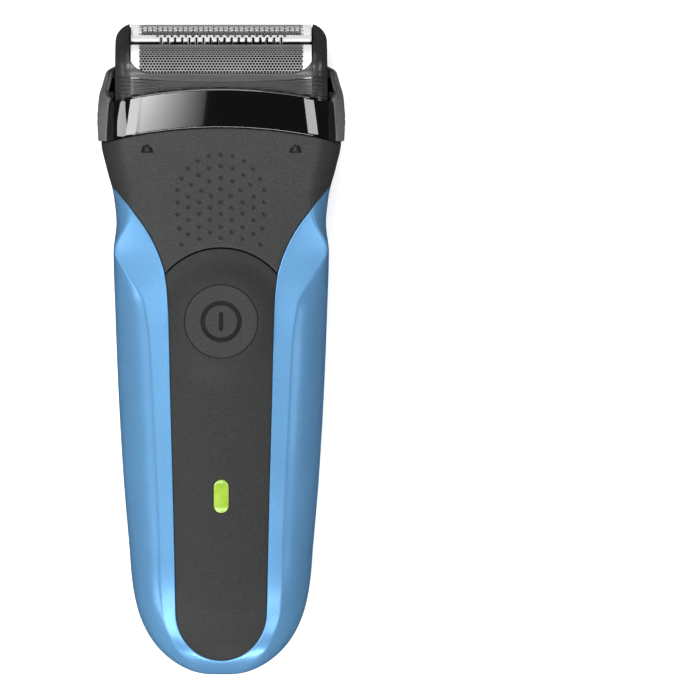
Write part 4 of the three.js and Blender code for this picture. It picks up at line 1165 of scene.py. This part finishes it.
class Paint:
    """A procedural material: a Principled shader with its nodes."""

    def __init__(self, name, colour, **values):
        self.material = bpy.data.materials.new(name)
        self.material.use_nodes = True
        self.tree = self.material.node_tree
        self.shader = self.tree.nodes["Principled BSDF"]
        self.coordinates = self.node("TexCoord").outputs["Object"]
        self.colour = colour
        self.set("Base Color", (*colour, 1))
        for key, value in values.items():
            self.set(key.replace("_", " ").title().replace("Ior", "IOR"), value)

    def set(self, socket, value):
        self.shader.inputs[socket].default_value = value

    def link(self, out, into):
        self.tree.links.new(out, into)

    def node(self, kind, **inputs):
        made = self.tree.nodes.new("ShaderNode" + kind)
        for key, value in inputs.items():
            made.inputs[key.replace("_", " ")].default_value = value
        return made

    def noise(self, scale, detail, stretch=(1, 1, 1)):
        mapping = self.node("Mapping", Scale=stretch)
        self.link(self.coordinates, mapping.inputs["Vector"])
        noise = self.node("TexNoise", Scale=scale, Detail=detail)
        self.link(mapping.outputs["Vector"], noise.inputs["Vector"])
        return noise.outputs["Fac"]

    def cells(self, scale):
        cells = self.node("TexVoronoi", Scale=scale)
        self.link(self.coordinates, cells.inputs["Vector"])
        return cells.outputs["Distance"]

    def ramp(self, fac, low, high):
        """Runs from one colour to the other over the middle of the factor's range."""
        ramp = self.node("ValToRGB")
        for element, place, colour in zip(ramp.color_ramp.elements, NOISE_RANGE, (low, high)):
            element.position = place
            element.color = (*colour, 1)
        self.link(fac, ramp.inputs["Fac"])
        return ramp.outputs["Color"]

    def shade(self, fac, low, high):
        """Shades the base colour between two multiples of itself."""
        colour = self.ramp(fac, tinted(self.colour, low), tinted(self.colour, high))
        self.link(colour, self.shader.inputs["Base Color"])

    def roughness_from(self, fac, low, high):
        start, end = NOISE_RANGE
        stretch = self.node("MapRange", From_Min=start, From_Max=end, To_Min=low, To_Max=high)
        self.link(fac, stretch.inputs["Value"])
        self.link(stretch.outputs["Result"], self.shader.inputs["Roughness"])

    def bump_from(self, fac, distance, strength):
        bump = self.node("Bump", Strength=strength, Distance=distance)
        self.link(fac, bump.inputs["Height"])
        self.link(bump.outputs["Normal"], self.shader.inputs["Normal"])


def tinted(colour, factor):
    return tuple(min(1, c * factor) for c in colour)


def blue_lacquer():
    paint = Paint("blue_lacquer", (0.096, 0.238, 0.42), metallic=0.4, roughness=0.28, coat_weight=0.12,
                  coat_roughness=0.1, specular_ior_level=0.25)
    paint.set("Specular Tint", (0.2, 0.42, 0.75, 1))
    flakes = paint.cells(9000)
    paint.shade(paint.noise(60, 4), 0.95, 1.06)
    paint.roughness_from(flakes, 0.25, 0.32)
    paint.bump_from(flakes, 0.000004, 0.25)
    return paint.material


def matte_panel(name, colour):
    """Fine-grained charcoal plastic."""
    paint = Paint(name, colour, roughness=0.55, specular_ior_level=0.18)
    grain = paint.noise(2300, 2)
    paint.shade(grain, 0.72, 1.32)
    paint.roughness_from(paint.noise(90, 3), 0.5, 0.58)
    paint.bump_from(grain, 0.00004, 0.5)
    return paint.material


def soft_black(name, colour, grain_depth):
    paint = Paint(name, colour, roughness=0.6, specular_ior_level=0.4)
    paint.shade(paint.noise(2300, 2), 0.8, 1.22)
    paint.roughness_from(paint.noise(90, 3), 0.54, 0.64)
    paint.bump_from(paint.noise(3600, 2), grain_depth, 0.5)
    return paint.material


def piano_black():
    paint = Paint("piano_black", (0.0012, 0.0012, 0.0014), roughness=0.04, coat_weight=1.0,
                  coat_roughness=0.02)
    paint.shade(paint.noise(80, 2), 0.8, 1.2)
    paint.roughness_from(paint.noise(500, 4), 0.03, 0.05)
    paint.bump_from(paint.noise(25, 1), 0.000002, 0.1)
    return paint.material


def satin_black():
    paint = Paint("satin_black", (0.019, 0.0192, 0.0195), roughness=0.3, coat_weight=0.3, coat_roughness=0.16)
    paint.shade(paint.noise(150, 3), 0.88, 1.15)
    paint.roughness_from(paint.noise(1200, 3), 0.29, 0.33)
    paint.bump_from(paint.noise(3500, 2), 0.000002, 0.2)
    return paint.material


def steel(name, colour, low, high, stretch=(1, 1, 1), metallic=1.0):
    paint = Paint(name, colour, metallic=metallic, roughness=low)
    paint.shade(paint.noise(200, 3), 0.93, 1.06)
    streaks = paint.noise(1500, 3, stretch)
    paint.roughness_from(streaks, low, high)
    paint.bump_from(streaks, 0.000002, 0.3)
    return paint.material


def lit_lens():
    paint = Paint("lit_lens", (0.2, 0.42, 0.03), roughness=0.18, coat_weight=0.3, coat_roughness=0.12,
                  emission_strength=0.12)
    tint = paint.ramp(paint.noise(350, 2), (0.18, 0.3, 0.022), (0.25, 0.37, 0.045))
    paint.link(tint, paint.shader.inputs["Base Color"])
    paint.link(tint, paint.shader.inputs["Emission Color"])
    paint.roughness_from(paint.noise(900, 2), 0.14, 0.22)
    return paint.material


def moulded(name, colour, low=0.4, high=0.55, shine=0.5):
    """A plain moulded or coated inner piece with faint mottling."""
    paint = Paint(name, colour, roughness=low, specular_ior_level=shine)
    paint.shade(paint.noise(250, 3), 0.9, 1.1)
    paint.roughness_from(paint.noise(900, 3), low, high)
    paint.bump_from(paint.noise(2600, 2), 0.00001, 0.3)
    return paint.material


def pale_floor():
    paint = Paint("pale_floor", (0.9, 0.9, 0.9), roughness=0.7, emission_strength=0.22)
    paint.set("Emission Color", (1, 1, 1, 1))
    tint = paint.ramp(paint.noise(3, 2), (0.895, 0.895, 0.895), (0.91, 0.91, 0.91))
    paint.link(tint, paint.shader.inputs["Base Color"])
    return paint.material


def dress(piece, material):
    piece.data.materials.clear()
    piece.data.materials.append(material)


def finish_part(piece, material, chosen):
    """Gives the faces whose middle is chosen, in millimetres, a second material; on the gloss band's ends and
    the trimmer comb's sides it is painted shade.
    """
    piece.data.materials.append(material)
    for face in piece.data.polygons:
        if chosen(face.center * 1000):
            face.material_index = 1


def head_height(place):
    """How high a place is in the head's own frame."""
    return (place.y - SEAT_Y) * math.cos(TILT) + (place.z - SEAT_Z) * math.sin(TILT)


def show(piece, body, slot, material, *replaced):
    """Gives a new piece its material and its body, and hides the CAD nodes it stands for. The slot argument
    is not used.
    """
    dress(piece, material)
    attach(piece, body)
    if replaced:
        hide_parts(*replaced)


# ---------------------------------------------------------------- making the pieces

blue = blue_lacquer()
matte = matte_panel("matte_panel", (0.0205, 0.0211, 0.0208))
# The lower panel's copy of the charcoal plastic is darker: painted shade for the light falling off towards
# the bottom end.
matte_painted_shade = matte_panel("matte_panel_painted_shade", (0.0135, 0.0139, 0.0137))
rubber = soft_black("grip_rubber", (0.02, 0.0205, 0.021), 0.00004)
pad_plastic = soft_black("pad_plastic", (0.075, 0.0765, 0.0765), 0.00003)
gloss = piano_black()
satin = satin_black()
foil_metal = steel("foil_metal", (0.33, 0.333, 0.337), 0.28, 0.34, metallic=0.5)
brushed_metal = steel("brushed_metal", (0.88, 0.88, 0.885), 0.4, 0.5, (0.1, 1, 1), 0.35)
shaded_metal = steel("shaded_metal", (0.035, 0.035, 0.036), 0.3, 0.4)
dark_metal = steel("dark_metal", (0.016, 0.016, 0.017), 0.5, 0.6)
# Near-black matte: the power symbol's own black, and painted shade on the gloss band's ends.
symbol_and_painted_shade = moulded("symbol_black_and_painted_shade", (0.008, 0.008, 0.008), 0.55, 0.65, 0.08)
# Near-black matte for the plates under the cap nubs: painted shade.
panel_shadow = moulded("nub_plate_painted_shade", (0.003, 0.003, 0.003), 0.6, 0.7, 0.08)

show(front_shell(), "housing", "blue_shell", blue, "front_shell")
show(rear_shell(), "housing", "blue_shell", blue, "rear_shell")
show(upper_panel(), "housing", "charcoal_panel", matte, "upper_front_panel")
for side in (-1, 1):
    nub, shade_plate = cap_nub(side)
    show(nub, "housing", "charcoal_panel", matte)
    show(shade_plate, "housing", "charcoal_panel", panel_shadow)
# The lower panel takes the darker copy of its plastic, as painted shade.
show(lower_panel(), "housing", "charcoal_panel", matte_painted_shade, "lower_front_panel")
show(rear_grip(), "housing", "grip_rubber", rubber, "rear_grip")
band = gloss_band()
show(band, "housing", "gloss_black", gloss, "gloss_band")
# The band's ends past BAND_SHINE_END take the near-black matte instead of the gloss: painted shade for the
# dark reflection there.
finish_part(band, symbol_and_painted_shade, lambda middle: abs(middle.x) > BAND_SHINE_END)
for side in (-1, 1):
    show(neck_half(side), "housing", "charcoal_panel", pad_plastic)

caps, symbol = power_button()
for piece, nodes in zip(caps, (("power_button",), ())):
    show(piece, "power_button", "charcoal_panel", matte, *nodes)
show(symbol, "power_button", "gloss_black", symbol_and_painted_shade)
show(indicator_lens(), "housing", "green_lens", lit_lens(), "indicator_lens")
for side, name in ((-1, "release_button_left"), (1, "release_button_right")):
    show(release_button(side), name, "charcoal_panel", pad_plastic, name)

show(cassette_frame(), "cassette", "black_plastic", satin, "foil_frame")
for side, place in ((1, "front"), (-1, "rear")):
    sheet_piece = foil(side)
    show(sheet_piece, place + "_foil", "foil_steel", foil_metal, place + "_foil")
    finish_part(sheet_piece, brushed_metal, lambda middle: abs(middle.x) > FIELD_HALF_LENGTH + 0.1)
    show(cutter_blades(side), place + "_cutter", "steel", dark_metal, place + "_cutter_blades")
comb = trimmer_comb()
show(comb, "trimmer", "foil_steel", brushed_metal, "trimmer_comb")
# The comb's sides below its top take a far darker copy of its steel: painted shade.
finish_part(comb, shaded_metal, lambda middle: head_height(middle) < TRIMMER_TOP - 0.35)
show(trimmer_blade(), "trimmer_blade", "steel", dark_metal, "trimmer_blade")

CARRIED = {
    "black_plastic": moulded("moulded_black", (0.02, 0.02, 0.021)),
    "white_plastic": moulded("moulded_white", (0.62, 0.62, 0.6)),
    "steel": steel("plain_steel", (0.55, 0.55, 0.57), 0.28, 0.4),
    "brass": steel("plated_brass", (0.75, 0.56, 0.25), 0.28, 0.4),
    "cell_sleeve": moulded("cell_sleeve", (0.12, 0.16, 0.24), 0.25, 0.35),
    "board": moulded("solder_mask", (0.015, 0.13, 0.05), 0.3, 0.4),
    "grip_rubber": rubber,
}
slots = {row["node"]: row["material_slot"] for row in frame["record"]["subparts"]}
for name, node in frame["nodes"].items():
    if slots[name] in CARRIED:
        dress(node, CARRIED[slots[name]])


# ---------------------------------------------------------------- floor, lights and camera

FLOOR_REACH = 3  # metres


def floor():
    mesh = bpy.data.meshes.new("floor")
    corners = [(x, y, 0) for x, y in block_corners(FLOOR_REACH, FLOOR_REACH)]
    mesh.from_pydata(corners, [], [(0, 1, 2, 3)])
    plane = placed("floor", mesh)
    dress(plane, pale_floor())
    plane.visible_glossy = False


FADE_FLOOR = 0.16
FADE_POWER = 1.4


def softbox(name, place, aim, size, radiance, fade=None):
    """An area light whose width runs along X, and dims to the right over the part of it that fade gives."""
    data = bpy.data.lights.new(name, "AREA")
    data.shape = "RECTANGLE"
    data.size, data.size_y = size
    data.energy = radiance * math.pi * size[0] * size[1]
    if fade:
        data.use_nodes = True
        nodes, links = data.node_tree.nodes, data.node_tree.links
        place_on_light = nodes.new("ShaderNodeNewGeometry").outputs["Parametric"]
        split = nodes.new("ShaderNodeSeparateXYZ")
        ramp = nodes.new("ShaderNodeMapRange")
        ramp.inputs["From Min"].default_value, ramp.inputs["From Max"].default_value = fade
        ramp.inputs["To Min"].default_value, ramp.inputs["To Max"].default_value = 1, FADE_FLOOR
        power = nodes.new("ShaderNodeMath")
        power.operation = "POWER"
        power.inputs[1].default_value = FADE_POWER
        links.new(place_on_light, split.inputs["Vector"])
        links.new(split.outputs["X"], ramp.inputs["Value"])
        links.new(ramp.outputs["Result"], power.inputs[0])
        links.new(power.outputs["Value"], nodes["Emission"].inputs["Strength"])
    back = (Vector(place) - Vector(aim)).normalized()
    right = (Vector((1, 0, 0)) - back * back.x).normalized()
    turned = Matrix((right, back.cross(right), back)).transposed().to_4x4()
    turned.translation = place
    placed(name, data).matrix_world = turned


# Name, place, aim and size in metres, radiance, and where the light dims if it does
LAMPS = [
    ("left", (-0.35, -0.52, 0.72), (-0.35, 0.06, 0.03), (0.65, 0.4), 8, (0.84, 1.0)),
    ("far_left", (-0.88, -0.43, 0.42), (0, 0.07, 0.03), (0.7, 0.26), 5),
    ("right", (0.5, -0.52, 0.72), (0.5, 0.06, 0.03), (0.66, 0.26), 5.5),
    ("overhead", (-0.08, 0.24, 0.75), (0, 0.02, 0.02), (0.4, 0.3), 6.2),
    ("strip", (0, -0.47, 1.6), (0, 0.07, 0.03), (1.8, 0.28), 7.5),
    ("key", (-0.55, 0.28, 0.85), (0, 0, 0.02), (0.32, 0.32), 10),
    ("right_key", (0.52, 0.2, 0.85), (0, 0, 0.02), (0.25, 0.25), 7),
    ("behind", (0, 0.9, 0.45), (0, 0.07, 0.04), (1.5, 0.7), 1.1),
    ("foot", (0.05, -0.8, 0.25), (0, -0.08, 0.02), (0.32, 0.14), 20),
    ("left_side", (-1.2, 0.2, 0.35), (0, 0, 0.02), (0.28, 0.6), 2),
    ("right_side", (1.2, 0.2, 0.35), (0, 0, 0.02), (0.28, 0.6), 4),
]


def studio():
    world = bpy.data.worlds.new("studio")
    world.use_nodes = True
    world.node_tree.nodes["Background"].inputs["Color"].default_value = (0.9, 0.95, 1, 1)
    world.node_tree.nodes["Background"].inputs["Strength"].default_value = 0.045
    bpy.context.scene.world = world
    for lamp in LAMPS:
        softbox(*lamp)
    bpy.context.scene.view_settings.view_transform = "Standard"


VIEW_WIDTH = 0.17157  # metres across the picture at the body's middle height
VIEW_DISTANCE = 5
LEFT_SHIFT = 0.184  # how far left of the picture's middle the shaver lies, in picture widths


def camera():
    data = bpy.data.cameras.new("camera")
    data.sensor_width = 36
    data.lens = data.sensor_width * VIEW_DISTANCE / VIEW_WIDTH
    data.shift_x = LEFT_SHIFT
    data.clip_end = 20
    eye = placed("camera", data)
    eye.location = (0, 0, PARTING_Z / 1000 + VIEW_DISTANCE)
    bpy.context.scene.camera = eye


floor()
studio()
camera()
